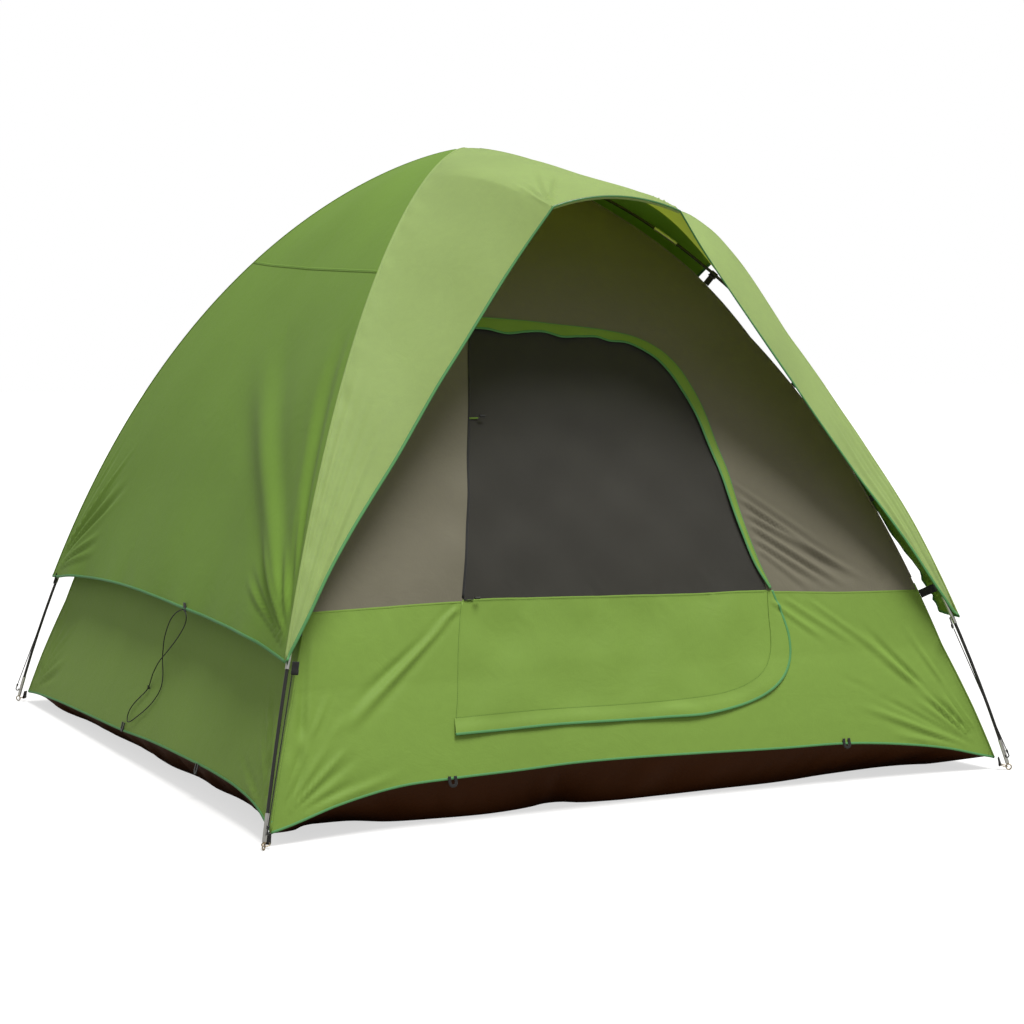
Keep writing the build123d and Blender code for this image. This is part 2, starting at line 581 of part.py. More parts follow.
cut = [(-(ridge_y(z) - w), z) for z, w in zip(CUT_Z, CUT_W)]
top_arc = [(-480, 1505), (-360, 1475), (-180, 1452), (0, 1445), (180, 1452), (360, 1475), (480, 1505)]
cut_poly = cut + top_arc + [(-y, z) for y, z in cut[::-1]]
right_cut = prism(cut_poly, "x", 100, 1600)
cin = inset(cut_poly, -FB)            # ring of binding around the cut-out
cut_big = prism([(y, z) for y, z in cin], "x", 100, 1600)
right = fw["right"] & band(lambda u: fly_side_hem(u) + FB, 2100, 1500, "x")
write("fly_right_panel", right - cut_big)
ring_bind = (fw["right"] & cut_big & band(lambda u: fly_side_hem(u) + FB, 2100, 1500, "x")) - right_cut
hem_l = fw["left"] & band(fly_side_hem, lambda u: fly_side_hem(u) + FB, 1500, "x")
hem_b = fw["back"] & band(fly_back_hem, lambda u: fly_back_hem(u) + FB, 1500, "y")
hem_r = (fw["right"] & band(fly_side_hem, lambda u: fly_side_hem(u) + FB, 1500, "x")) - right_cut
write("fly_hem_binding", [hem_l, hem_b] + list(hem_r.solids()) + list(ring_bind.solids()))

# visor: from the two front ridges out to the front edge
EDGE = [(467, 1089, -1205), (480, 1078, -1192), (580, 1012, -1168), (680, 949, -1142), (780, 878, -1117), (880, 801, -1095),
        (980, 725, -1080), (1080, 653, -1061), (1180, 582, -1045), (1280, 507, -1033), (1380, 433, -1020),
        (1480, 359, -1008), (1580, 283, -1003), (1680, 208, -1010)]
EA = np.array([(-x, y, z) for z, x, y in EDGE], float)
E_len = np.concatenate([[0], np.cumsum(np.linalg.norm(np.diff(EA, axis=0), axis=1))])
E_fr = E_len / E_len[-1]
i0, i1 = int(np.argmin(abs(FZ - FLY_HEM))), int(np.argmin(abs(FZ - 1812.0)))


def ridge_pt(s):
    return np.array([-float(np.interp(s, PS, FR)) * UX, -float(np.interp(s, PS, FR)) * UY, float(np.interp(s, PS, FZ))])


def visor_half(nu, nb):
    """Columns from the left corner to the centre line: ridge point, edge
    point and how far the cloth bellies out between them."""
    cols = []
    for f in np.linspace(0, 1, nu):
        s = PS[i0] + (PS[i1] - PS[i0]) * f
        e = np.array([np.interp(f, E_fr, EA[:, k]) for k in range(3)])
        cols.append((ridge_pt(s), e, 0.030 + 0.015 * f ** 3))
    for g in np.linspace(0, 1, nb)[1:]:
        s = PS[i1] + (HALF_LEN - PS[i1]) * g
        x = -BROW_X * (1 - g)
        z = BROW_Z + BROW_RISE * (1 - (x / BROW_X) ** 2)
        cols.append((ridge_pt(s), np.array([x, BROW_Y, z]), 0.013 + 0.032 * math.exp(-(g / 0.35) ** 2)))
    return cols


NV = 6
half = visor_half(15, 5)
cols = half + [(a * np.array([-1, 1, 1]), b * np.array([-1, 1, 1]), k) for a, b, k in half[-2::-1]]
grid = []
for a, b, belly in cols:
    d = b - a
    ln = max(np.linalg.norm(d), 1e-6)
    col = []
    # outward direction: away from the tent's middle, square to the ruling
    o = (a + b) / 2 - np.array([0.0, 0.0, 500.0])
    o = o - d * (o @ d) / ln ** 2
    o /= np.linalg.norm(o)
    bulge = belly * ln
    pull = 1.0 - min(9.0 / ln, 0.4)          # leave the last few millimetres to the binding
    for v in np.linspace(0, 1, NV):
        col.append(a + d * v * pull + o * bulge * math.sin(math.pi * v * pull) * 1.0)
    grid.append(col)
G = np.array(grid)
Nn = np.zeros_like(G)
for i in range(G.shape[0]):
    for j in range(G.shape[1]):
        du = G[min(i + 1, G.shape[0] - 1), j] - G[max(i - 1, 0), j]
        dv = G[i, min(j + 1, NV - 1)] - G[i, max(j - 1, 0)]
        n_ = np.cross(du, dv)
        n_ /= max(np.linalg.norm(n_), 1e-9)
        Nn[i, j] = n_
mid = Nn[G.shape[0] // 2, 2]
if mid[2] > 0:
    Nn = -Nn
inward = Nn * CLOTH
# on the ridge the visor meets the side panels on the diagonal plane
for i in range(G.shape[0]):
    a = cols[i][0]
    k = int(np.argmin(abs(FR - math.hypot(a[0], a[1]))))
    n_r, n_z = float(TZ[k]), -float(TR[k])
    den = UY / math.hypot(float(TZ[k]), UY * float(TR[k]))
    sgn = np.array([np.sign(a[0]) * UX, -UY, 0.0])
    inward[i, 0] = -(sgn * n_r + np.array([0, 0, n_z])) * CLOTH / max(den, 0.3)
inward[G.shape[0] // 2, 0] = np.array([0, 0, -CLOTH])
write("fly_visor", thick(G, inward))
# edge binding of the visor, on both sides of the brow
vb = []
for sgn in (-1, 1):
    rng = range(0, 15) if sgn < 0 else range(G.shape[0] - 15, G.shape[0])
    r0 = [G[i, NV - 1].copy() for i in rng]
    d0 = [(G[i, NV - 1] - G[i, NV - 2]) / np.linalg.norm(G[i, NV - 1] - G[i, NV - 2]) for i in rng]
    of = [inward[i, NV - 1] for i in rng]
    e0, e1 = (-1, -2) if sgn < 0 else (0, 1)      # stop short of the brow sleeve
    r0[e0] = r0[e1] + (r0[e0] - r0[e1]) * 0.88
    r1 = [p + d * 8.0 for p, d in zip(r0, d0)]
    vb.append(thick([r0, r1], [of, of]))
write("visor_edge_binding", vb)
# brow pole in its sleeve
ba = [Vector(-BROW_X, BROW_Y, BROW_Z), Vector(0, BROW_Y, BROW_Z + BROW_RISE), Vector(BROW_X, BROW_Y, BROW_Z)]
write("brow_pole", arc_tube(ba, 2.5, 0))
be = Edge.make_three_point_arc(*ba)
ext = [be @ 0.0, be @ 0.5, be @ 1.0]
write("brow_sleeve", arc_tube(ext, 5.2, 2.8))

# corner tabs, hooks and elastic cords
ctabs, chooks = [], []
CORD_R = 1.5
for c, (dx, dy) in CORNERS.items():
    lat = Vector(-UY * dy, UX * dx, 0).normalized()
    lat = lat if lat.X * dx > 0 else -lat       # towards the side wall's end of the corner
    if dy < 0:
        lat = -lat                              # the front cords run on the doorway side
    zt, th = (428.0, 36.0) if dy < 0 else (440.0, 40.0)
    out = Vector(UX * dx, UY * dy, 0)
    k = int(np.argmin(abs(PZ - zt)))
    c0 = Vector(float(PR[k]) * UX * dx, float(PR[k]) * UY * dy, zt)
    p_top = c0 - out * 9.0 + lat * 12.5
    k2 = int(np.argmin(abs(PZ - 62.0)))
    p_bot = Vector(float(PR[k2]) * UX * dx, float(PR[k2]) * UY * dy, 62.0) + out * 13.0 + lat * 11.0
    d = (p_top - p_bot).normalized()
    tab = Solid.make_box(22, 2.0, th, Plane(origin=p_top - lat * 4.0 - out * 1.0, x_dir=lat, z_dir=(Vector(0, 0, 1) - out * 0.33).normalized()))
    ctabs.append(tab)
    hb = p_bot
    hk = Solid.make_cylinder(3.2, 18, Plane(origin=hb - d * 18, z_dir=d))
    ox = (out - d * (out.dot(d))).normalized()
    ly = d.cross(ox)
    hk = hk + Solid.make_box(4.0, 10.0, 4.0, Plane(origin=hb - d * 18 - lat * 5.0 - ly * 5.0 - ox * 2.0, x_dir=ox, z_dir=d))
    chooks.append(hk)
    rad_len = (p_top - d * 1.0 - hb).length
    n = max(2, int(round(rad_len / 55.0)))
    cord = Solid.make_cylinder(CORD_R, rad_len, Plane(origin=hb, z_dir=d))
    write(f"corner_cord_{c}", cord)
    print(f"corner cord {c}: from {tuple(round(v/1000,5) for v in (p_top - d))} to {tuple(round(v/1000,5) for v in hb)} length {rad_len/1000:.4f} m, straight")
write("fly_corner_tabs", ctabs)
write("fly_hooks", chooks)

# guy cord: one loop from the tab on the left hem, down the wall and back, with a knot
ROUTE = [(-1079.6, -290, 503), (-1083, -257, 495), (-1082, -214, 481), (-1083, -172, 458), (-1082, -136, 428), (-1083, -109, 395),
         (-1082, -95, 364), (-1083, -89, 336), (-1087, -102, 311), (-1093, -126, 291), (-1100, -143, 270), (-1107, -150, 249),
         (-1115, -140, 226), (-1125, -111, 197), (-1134, -66, 169), (-1144, -12, 141), (-1151, 32, 120), (-1153, 66, 112),
         (-1148, 80, 128), (-1142, 74, 150), (-1134, 52, 173), (-1125, 16, 197), (-1118, -18, 217), (-1112, -38, 236),
         (-1107, -42, 256), (-1104, -52, 277), (-1101, -72, 298), (-1098, -101, 323), (-1093, -147, 350), (-1087, -200, 383),
         (-1083, -256, 418), (-1082, -306, 451), (-1083, -334, 477), (-1082, -328, 496), (-1079.6, -304, 504)]
GUY_R = 1.6
pts = [Vector(*p) for p in ROUTE]
rad = []
for i in range(1, len(pts) - 1):
    u, v = pts[i] - pts[i - 1], pts[i + 1] - pts[i]
    turn = math.radians(u.get_angle(v))
    rad.append(0.45 * min(u.length, v.length) / math.tan(turn / 2))
print("guy cord runs mm:", [round((pts[i + 1] - pts[i]).length) for i in range(len(pts) - 1)])
print("guy cord arc radii mm:", [round(r, 1) for r in rad])
gp = FilletPolyline(*pts, radius=rad)
sec = Face(Wire.make_circle(GUY_R, Plane(origin=gp @ 0, z_dir=gp % 0)))
guy = Solid.sweep(sec, gp.wire() if hasattr(gp, "wire") else gp)
print(f"guy cord length m {gp.length/1000:.4f}, volume check {guy.volume/(math.pi*GUY_R**2*gp.length):.4f}")
write("guy_cord", guy)
kp = Vector(-1113.0, -39, 236)
knot = Solid.make_sphere(4.6, Plane(origin=kp, z_dir=(0, 0, 1)))
write("guy_cord_knot", knot)
# guy tabs on the hem: left, right and back
gt = []
xh = -fly_r(fly_side_hem(-297) + 12) * UX
print("left hem outer face x", round(xh, 1), "z", round(fly_side_hem(-297), 1))
gt.append(Solid.make_box(2.6, 26, 30, Plane(origin=(xh - 4.6, -310, 495))))
xb = 0.0
yb = fly_r(fly_back_hem(0) + 20) * UY
gt.append(Solid.make_box(44, 2.4, 34, Plane(origin=(-22, yb + 1.8, 492))))
write("guy_tabs", gt)
print("half pole length", round(HALF_LEN, 1), "section", round(sec_len, 1))
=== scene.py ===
import bpy
import math
import numpy as np
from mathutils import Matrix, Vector, geometry


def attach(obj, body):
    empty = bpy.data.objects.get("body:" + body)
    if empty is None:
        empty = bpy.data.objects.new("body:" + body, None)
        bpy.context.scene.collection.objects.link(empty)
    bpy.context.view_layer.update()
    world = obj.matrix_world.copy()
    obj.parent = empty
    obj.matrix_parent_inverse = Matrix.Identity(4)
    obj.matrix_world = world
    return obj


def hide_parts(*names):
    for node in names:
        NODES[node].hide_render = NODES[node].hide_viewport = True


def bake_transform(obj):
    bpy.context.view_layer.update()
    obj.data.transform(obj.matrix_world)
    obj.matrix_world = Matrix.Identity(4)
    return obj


# Two-pole dome tent: cloth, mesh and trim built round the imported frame. Metres.
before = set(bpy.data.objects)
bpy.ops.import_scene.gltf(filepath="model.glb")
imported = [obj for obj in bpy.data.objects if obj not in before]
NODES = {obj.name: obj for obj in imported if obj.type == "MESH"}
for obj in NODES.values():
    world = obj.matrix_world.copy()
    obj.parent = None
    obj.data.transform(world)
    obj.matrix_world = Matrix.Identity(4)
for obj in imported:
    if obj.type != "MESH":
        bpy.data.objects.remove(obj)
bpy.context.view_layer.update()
scene = bpy.context.scene
scene.view_settings.view_transform = "Standard"

# ---------------------------------------------------------------- camera
AZ, EL = math.radians(-26.315), math.radians(4.268)
back = Vector((math.sin(AZ) * math.cos(EL), -math.cos(AZ) * math.cos(EL), math.sin(EL)))
cam_data = bpy.data.cameras.new("camera")
cam_data.lens = 75.45
cam_data.sensor_width = 36.0
cam_data.clip_end = 400.0
cam = bpy.data.objects.new("camera", cam_data)
scene.collection.objects.link(cam)
cam.rotation_mode = "QUATERNION"
cam.location = (-3.02397, -6.44048, 1.27053)
cam.rotation_quaternion = (-back).to_track_quat("-Z", "Y")
scene.camera = cam


# ---------------------------------------------------------------- materials
def new_mat(name):
    m = bpy.data.materials.new(name)
    m.use_nodes = True
    return m, m.node_tree, m.node_tree.nodes["Principled BSDF"]


def node(nt, kind, **props):
    n = nt.nodes.new(kind)
    for k, v in props.items():
        setattr(n, k, v)
    return n


def wave(nt, vec, direction, period, distort=0.0):
    w = node(nt, "ShaderNodeTexWave", wave_type="BANDS", bands_direction=direction)
    w.inputs["Scale"].default_value = 2 * math.pi / (20.0 * period)
    w.inputs["Distortion"].default_value = distort
    w.inputs["Detail"].default_value = 1.0
    nt.links.new(vec, w.inputs["Vector"])
    return w.outputs["Fac"]


def tex_noise(nt, vec, scale, detail=3.0, rough=0.55, distort=0.0):
    n = node(nt, "ShaderNodeTexNoise")
    n.inputs["Scale"].default_value = scale
    n.inputs["Detail"].default_value = detail
    n.inputs["Roughness"].default_value = rough
    n.inputs["Distortion"].default_value = distort
    nt.links.new(vec, n.inputs["Vector"])
    return n.outputs["Fac"]


def math_node(nt, op, a, b=None):
    m = node(nt, "ShaderNodeMath", operation=op)
    for i, v in enumerate((a, b)):
        if v is None:
            continue
        if isinstance(v, (int, float)):
            m.inputs[i].default_value = v
        else:
            nt.links.new(v, m.inputs[i])
    return m.outputs[0]


def ramp(nt, fac, stops):
    r = node(nt, "ShaderNodeValToRGB")
    while len(r.color_ramp.elements) < len(stops):
        r.color_ramp.elements.new(0.5)
    for e, (p, c) in zip(r.color_ramp.elements, stops):
        e.position = p
        e.color = (*c, 1.0)
    nt.links.new(fac, r.inputs["Fac"])
    return r.outputs["Color"]


def bump(nt, height, distance, strength, normal=None):
    b = node(nt, "ShaderNodeBump")
    b.inputs["Distance"].default_value = distance
    b.inputs["Strength"].default_value = strength
    nt.links.new(height, b.inputs["Height"])
    if normal is not None:
        nt.links.new(normal, b.inputs["Normal"])
    return b.outputs["Normal"]


def coat_stain(c, f):
    return tuple(x * f for x in c)


def cloth(name, col, rough=0.62, weave=0.0016, var=0.10, sheen=0.04, through=0.0, through_col=None, crumple=1.0,
          use_uv=True, spec=0.24):
    """Woven polyester: fine weave bump, crumple, slow colour drift, and some light through it."""
    m, nt, bs = new_mat(name)
    tc = node(nt, "ShaderNodeTexCoord")
    if use_uv:
        uv = node(nt, "ShaderNodeUVMap", uv_map="chart").outputs["UV"]
    else:
        uv = tc.outputs["Object"]
    ob = tc.outputs["Object"]
    wa = wave(nt, uv, "X", weave)
    wb = wave(nt, uv, "Y", weave)
    weave_h = math_node(nt, "MULTIPLY", wa, wb)
    slow = tex_noise(nt, ob, 1.7, 4.0, 0.5)
    fine = tex_noise(nt, ob, 38.0, 3.0, 0.6)
    fac = math_node(nt, "ADD", math_node(nt, "MULTIPLY", slow, 0.62), math_node(nt, "MULTIPLY", fine, 0.22))
    fac = math_node(nt, "ADD", fac, math_node(nt, "MULTIPLY", weave_h, 0.16))
    colour = ramp(nt, fac, [(0.25, coat_stain(col, 1 - var)), (0.52, col), (0.8, coat_stain(col, 1 + var))])
    nt.links.new(colour, bs.inputs["Base Color"])
    rr = node(nt, "ShaderNodeMapRange")
    nt.links.new(fine, rr.inputs["Value"])
    rr.inputs["To Min"].default_value = rough - 0.07
    rr.inputs["To Max"].default_value = rough + 0.07
    nt.links.new(rr.outputs["Result"], bs.inputs["Roughness"])
    bs.inputs["Sheen Weight"].default_value = sheen
    bs.inputs["Sheen Roughness"].default_value = 0.45
    bs.inputs["Specular IOR Level"].default_value = spec
    crm = tex_noise(nt, ob, 9.0, 5.0, 0.62, 0.8)
    n1 = bump(nt, crm, 0.010 * crumple, 0.22)
    n2 = bump(nt, weave_h, 0.00025, 0.35, n1)
    nt.links.new(n2, bs.inputs["Normal"])
    if through:
        tr = node(nt, "ShaderNodeBsdfTranslucent")
        c2 = through_col or col
        tcol = ramp(nt, fac, [(0.25, coat_stain(c2, 0.9)), (0.75, coat_stain(c2, 1.08))])
        nt.links.new(tcol, tr.inputs["Color"])
        nt.links.new(n1, tr.inputs["Normal"])
        mx = node(nt, "ShaderNodeMixShader")
        mx.inputs[0].default_value = through
        nt.links.new(bs.outputs[0], mx.inputs[1])
        nt.links.new(tr.outputs[0], mx.inputs[2])
        nt.links.new(mx.outputs[0], nt.nodes["Material Output"].inputs["Surface"])
    return m


def netting(name, col, period, hole, rough=0.7):
    """Fine polyester netting: threads in both directions, a share of open holes."""
    m, nt, bs = new_mat(name)
    uv = node(nt, "ShaderNodeUVMap", uv_map="chart").outputs["UV"]
    ob = node(nt, "ShaderNodeTexCoord").outputs["Object"]
    wa = wave(nt, uv, "X", period)
    wb = wave(nt, uv, "Y", period)
    thread = math_node(nt, "MAXIMUM", wa, wb)
    slow = tex_noise(nt, ob, 2.2, 3.0)
    fac = math_node(nt, "ADD", math_node(nt, "MULTIPLY", slow, 0.7), math_node(nt, "MULTIPLY", thread, 0.3))
    colour = ramp(nt, fac, [(0.3, coat_stain(col, 0.8)), (0.75, coat_stain(col, 1.2))])
    nt.links.new(colour, bs.inputs["Base Color"])
    bs.inputs["Roughness"].default_value = rough
    bs.inputs["Specular IOR Level"].default_value = 0.25
    bs.inputs["Sheen Weight"].default_value = 0.15
    al = node(nt, "ShaderNodeMapRange")
    nt.links.new(thread, al.inputs["Value"])
    al.inputs["From Min"].default_value = hole
    al.inputs["From Max"].default_value = hole + 0.18
    nt.links.new(al.outputs["Result"], bs.inputs["Alpha"])
    n1 = bump(nt, tex_noise(nt, ob, 7.0, 4.0), 0.006, 0.15)
    nt.links.new(bump(nt, thread, 0.0003, 0.4, n1), bs.inputs["Normal"])
    return m


def webbing(name, col, period=0.0022, rough=0.68):
    """Woven strap: ribs one way, fine twill the other."""
    m, nt, bs = new_mat(name)
    ob = node(nt, "ShaderNodeTexCoord").outputs["Object"]
    a = wave(nt, ob, "Z", period)
    b = wave(nt, ob, "DIAGONAL", period * 0.7)
    h = math_node(nt, "MULTIPLY", a, b)
    f = tex_noise(nt, ob, 60.0, 3.0)
    fac = math_node(nt, "ADD", math_node(nt, "MULTIPLY", h, 0.6), math_node(nt, "MULTIPLY", f, 0.4))
    nt.links.new(ramp(nt, fac, [(0.2, coat_stain(col, 0.6)), (0.8, coat_stain(col, 1.5))]), bs.inputs["Base Color"])
    bs.inputs["Roughness"].default_value = rough
    bs.inputs["Sheen Weight"].default_value = 0.2
    bs.inputs["Specular IOR Level"].default_value = 0.3
    nt.links.new(bump(nt, h, 0.0005, 0.6), bs.inputs["Normal"])
    return m


def braid(name, col, rough=0.6):
    """Braided cord sheath."""
    m, nt, bs = new_mat(name)
    ob = node(nt, "ShaderNodeTexCoord").outputs["Object"]
    a = wave(nt, ob, "Z", 0.0028, 1.5)
    b = wave(nt, ob, "Y", 0.0024, 1.5)
    h = math_node(nt, "MAXIMUM", a, b)
    nt.links.new(ramp(nt, h, [(0.1, coat_stain(col, 0.5)), (0.9, coat_stain(col, 1.6))]), bs.inputs["Base Color"])
    bs.inputs["Roughness"].default_value = rough
    bs.inputs["Specular IOR Level"].default_value = 0.35
    nt.links.new(bump(nt, h, 0.0004, 0.7), bs.inputs["Normal"])
    return m


def plastic(name, col, rough=0.38):
    """Moulded plastic with a light spark-eroded grain and rubbed spots."""
    m, nt, bs = new_mat(name)
    ob = node(nt, "ShaderNodeTexCoord").outputs["Object"]
    g = tex_noise(nt, ob, 900.0, 2.0)
    s = tex_noise(nt, ob, 55.0, 4.0)
    nt.links.new(ramp(nt, s, [(0.3, coat_stain(col, 0.75)), (0.75, coat_stain(col, 1.4))]), bs.inputs["Base Color"])
    rr = node(nt, "ShaderNodeMapRange")
    nt.links.new(s, rr.inputs["Value"])
    rr.inputs["To Min"].default_value = rough - 0.1
    rr.inputs["To Max"].default_value = rough + 0.16
    nt.links.new(rr.outputs["Result"], bs.inputs["Roughness"])
    nt.links.new(bump(nt, g, 0.0002, 0.3), bs.inputs["Normal"])
    return m


def fibreglass(name, col, rough=0.22):
    """Pultruded rod: faint streaks along it under a smooth resin skin."""
    m, nt, bs = new_mat(name)
    ob = node(nt, "ShaderNodeTexCoord").outputs["Object"]
    s = tex_noise(nt, ob, 120.0, 4.0, 0.7, 0.6)
    w = tex_noise(nt, ob, 6.0, 3.0)
    fac = math_node(nt, "ADD", math_node(nt, "MULTIPLY", s, 0.5), math_node(nt, "MULTIPLY", w, 0.5))
    nt.links.new(ramp(nt, fac, [(0.3, coat_stain(col, 0.6)), (0.8, coat_stain(col, 1.7))]), bs.inputs["Base Color"])
    rr = node(nt, "ShaderNodeMapRange")
    nt.links.new(s, rr.inputs["Value"])
    rr.inputs["To Min"].default_value = rough
    rr.inputs["To Max"].default_value = rough + 0.2
    nt.links.new(rr.outputs["Result"], bs.inputs["Roughness"])
    bs.inputs["Coat Weight"].default_value = 0.3
    nt.links.new(bump(nt, s, 0.0002, 0.25), bs.inputs["Normal"])
    return m


def metal(name, col, rough=0.24):
    """Drawn steel: fine drawing lines, dulled patches, tiny pits."""
    m, nt, bs = new_mat(name)
    ob = node(nt, "ShaderNodeTexCoord").outputs["Object"]
    s = tex_noise(nt, ob, 420.0, 3.0, 0.7)
    p = tex_noise(nt, ob, 24.0, 4.0)
    nt.links.new(ramp(nt, p, [(0.3, coat_stain(col, 0.78)), (0.7, col)]), bs.inputs["Base Color"])
    bs.inputs["Metallic"].default_value = 1.0
    rr = node(nt, "ShaderNodeMapRange")
    nt.links.new(p, rr.inputs["Value"])
    rr.inputs["To Min"].default_value = rough - 0.06
    rr.inputs["To Max"].default_value = rough + 0.18
    nt.links.new(rr.outputs["Result"], bs.inputs["Roughness"])
    nt.links.new(bump(nt, s, 0.0001, 0.3), bs.inputs["Normal"])
    return m


M_FLY = cloth("fly_cloth", (0.198, 0.352, 0.050), through=0.24, through_col=(0.34, 0.52, 0.07), crumple=0.8)
# visor cloth: the fly's green raised and paled with painted light, for the strong top light and whitish sheen on the
# up-facing visor
M_VISOR_PAINTED_LIGHT = cloth("visor_cloth_painted_light", (0.452, 0.612, 0.245), through=0.50, through_col=(0.68, 0.73, 0.19), crumple=0.7)
M_GREEN = cloth("wall_green_cloth", (0.200, 0.332, 0.055), through=0.12, through_col=(0.26, 0.42, 0.06), crumple=0.9)
M_GREY = cloth("wall_grey_cloth", (0.168, 0.156, 0.112), through=0.10, through_col=(0.17, 0.15, 0.10), crumple=0.9)
M_BROWN = cloth("floor_cloth", (0.048, 0.0135, 0.0026), rough=0.55, weave=0.0022, var=0.22, sheen=0.0, crumple=1.3, spec=0.08)
M_TEAL = cloth("binding_tape", (0.085, 0.255, 0.088), rough=0.6, weave=0.0024, var=0.16, use_uv=False, crumple=0.2)
M_WINDOW = netting("window_netting", (0.028, 0.0265, 0.0215), 0.0015, 0.10)
M_ROOF = netting("roof_netting", (0.030, 0.030, 0.030), 0.0016, 0.42)
M_WEB = webbing("black_webbing", (0.011, 0.011, 0.011))
M_THREAD_G = cloth("green_thread", (0.10, 0.22, 0.045), use_uv=False, weave=0.0008, crumple=0.0)
M_THREAD_K = cloth("grey_thread", (0.055, 0.052, 0.040), use_uv=False, weave=0.0008, crumple=0.0)
M_POLE = fibreglass("pole_black", (0.012, 0.012, 0.012))
M_STEEL = metal("ferrule_steel", (0.78, 0.78, 0.76))
M_PIN = metal("pin_steel", (0.52, 0.43, 0.31), 0.34)
M_CLIP = plastic("clip_black", (0.010, 0.010, 0.010))
M_CORD = braid("cord_black", (0.010, 0.010, 0.011))
M_ELASTIC = braid("elastic_cord", (0.20, 0.20, 0.19))
M_ZIP = webbing("zip_tape", (0.012, 0.013, 0.012), 0.0016)
M_SLIDER = metal("slider_black", (0.10, 0.10, 0.10), 0.4)


# ---------------------------------------------------------------- mesh helpers
def link(o):
    scene.collection.objects.link(o)
    return o


def mesh_object(name, verts, faces, mat, uv=None, smooth=True):
    me = bpy.data.meshes.new(name)
    me.from_pydata([tuple(map(float, v)) for v in verts], [], [tuple(int(i) for i in f) for f in faces])
    me.materials.append(mat)
    if uv is not None:
        lay = me.uv_layers.new(name="chart")
        loops = np.zeros(len(me.loops), np.int32)
        me.loops.foreach_get("vertex_index", loops)
        lay.data.foreach_set("uv", np.asarray(uv, float)[loops].astype(np.float32).ravel())
    if smooth:
        me.polygons.foreach_set("use_smooth", np.ones(len(me.polygons), bool))
        le = np.empty(len(me.loops), np.int32)
        me.loops.foreach_get("edge_index", le)
        rim = np.bincount(le, minlength=len(me.edges)) == 1      # cut edges of cloth stay crisp
        if rim.any():
            at = me.attributes.get("sharp_edge") or me.attributes.new("sharp_edge", "BOOLEAN", "EDGE")
            at.data.foreach_set("value", rim)
    me.update()
    return link(bpy.data.objects.new(name, me))


def place(o, body, replaces=()):
    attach(o, body)
    if replaces:
        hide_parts(*replaces)
    return o


def curve_tangents(P):
    T = np.gradient(np.asarray(P, float), axis=0)
    return T / np.maximum(np.linalg.norm(T, axis=1, keepdims=True), 1e-12)


def sweep(name, P, N, w, t, mat, off=0.0, sect=12, square=0.45, closed=False, ends=True):
    """Rounded flat tape along P lying on a surface with normals N; w and t are its width and thickness."""
    P, N = np.asarray(P, float), np.asarray(N, float)
    n = len(P)
    T = curve_tangents(P)
    if closed:
        T = np.roll(P, -1, 0) - np.roll(P, 1, 0)
        T /= np.linalg.norm(T, axis=1, keepdims=True)
    N = N - T * np.sum(N * T, axis=1, keepdims=True)
    N /= np.maximum(np.linalg.norm(N, axis=1, keepdims=True), 1e-12)
    S = np.cross(T, N)
    w = np.broadcast_to(np.asarray(w, float), (n,))
    t = np.broadcast_to(np.asarray(t, float), (n,))
    off = np.broadcast_to(np.asarray(off, float), (n,))
    verts, uv = [], []
    L = np.concatenate([[0], np.cumsum(np.linalg.norm(np.diff(P, axis=0), axis=1))])
    for i in range(n):
        for k in range(sect):
            a = 2 * math.pi * (k + 0.5) / sect
            c, s = math.cos(a), math.sin(a)
            x = math.copysign(abs(c) ** square, c) * w[i] / 2
            y = math.copysign(abs(s) ** square, s) * t[i] / 2
            verts.append(P[i] + S[i] * x + N[i] * (y + off[i]))
            uv.append((L[i], x))
    faces = []
    rows = n if closed else n - 1
    for i in range(rows):
        j = (i + 1) % n
        for k in range(sect):
            q = (k + 1) % sect
            faces.append((i * sect + k, j * sect + k, j * sect + q, i * sect + q))
    if ends and not closed:
        faces.append(tuple(range(sect)))
        faces.append(tuple(reversed(range((n - 1) * sect, n * sect))))
    o = mesh_object(name, verts, faces, mat, uv)
    fix_normals(o)
    return o


def fix_normals(o):
    import bmesh
    bm = bmesh.new()
    bm.from_mesh(o.data)
    bmesh.ops.recalc_face_normals(bm, faces=bm.faces)
    bm.to_mesh(o.data)
    bm.free()
    o.data.polygons.foreach_set("use_smooth", np.ones(len(o.data.polygons), bool))


def tube(name, P, r, mat, sect=12, up=(0.13, 0.31, 0.94)):
    P = np.asarray(P, float)
    N = np.tile(np.array(up, float), (len(P), 1))
    return sweep(name, P, N, np.asarray(r) * 2.0, np.asarray(r) * 2.0, mat, sect=sect, square=1.0)


def resample(P, step):
    P = np.asarray(P, float)
    L = np.concatenate([[0], np.cumsum(np.linalg.norm(np.diff(P, axis=0), axis=1))])
    n = max(2, int(round(L[-1] / step)) + 1)
    q = np.linspace(0, L[-1], n)
    return np.stack([np.interp(q, L, P[:, k]) for k in range(P.shape[1])], axis=1)


def catmull(P, n):
    """Smooth line through measured points."""
    P = np.asarray(P, float)
    L = np.concatenate([[0], np.cumsum(np.linalg.norm(np.diff(P, axis=0), axis=1))])
    M = np.gradient(P, L, axis=0)
    q = np.linspace(0, L[-1], n)
    i = np.clip(np.searchsorted(L, q, side="right") - 1, 0, len(P) - 2)
    h = (L[i + 1] - L[i])[:, None]
    t = ((q - L[i]) / (L[i + 1] - L[i]))[:, None]
    return ((2 * t ** 3 - 3 * t ** 2 + 1) * P[i] + (t ** 3 - 2 * t ** 2 + t) * h * M[i]
            + (-2 * t ** 3 + 3 * t ** 2) * P[i + 1] + (t ** 3 - t ** 2) * h * M[i + 1])


def ss(x, a, b):
    t = np.clip((np.asarray(x, float) - a) / (b - a), 0, 1)
    return t * t * (3 - 2 * t)


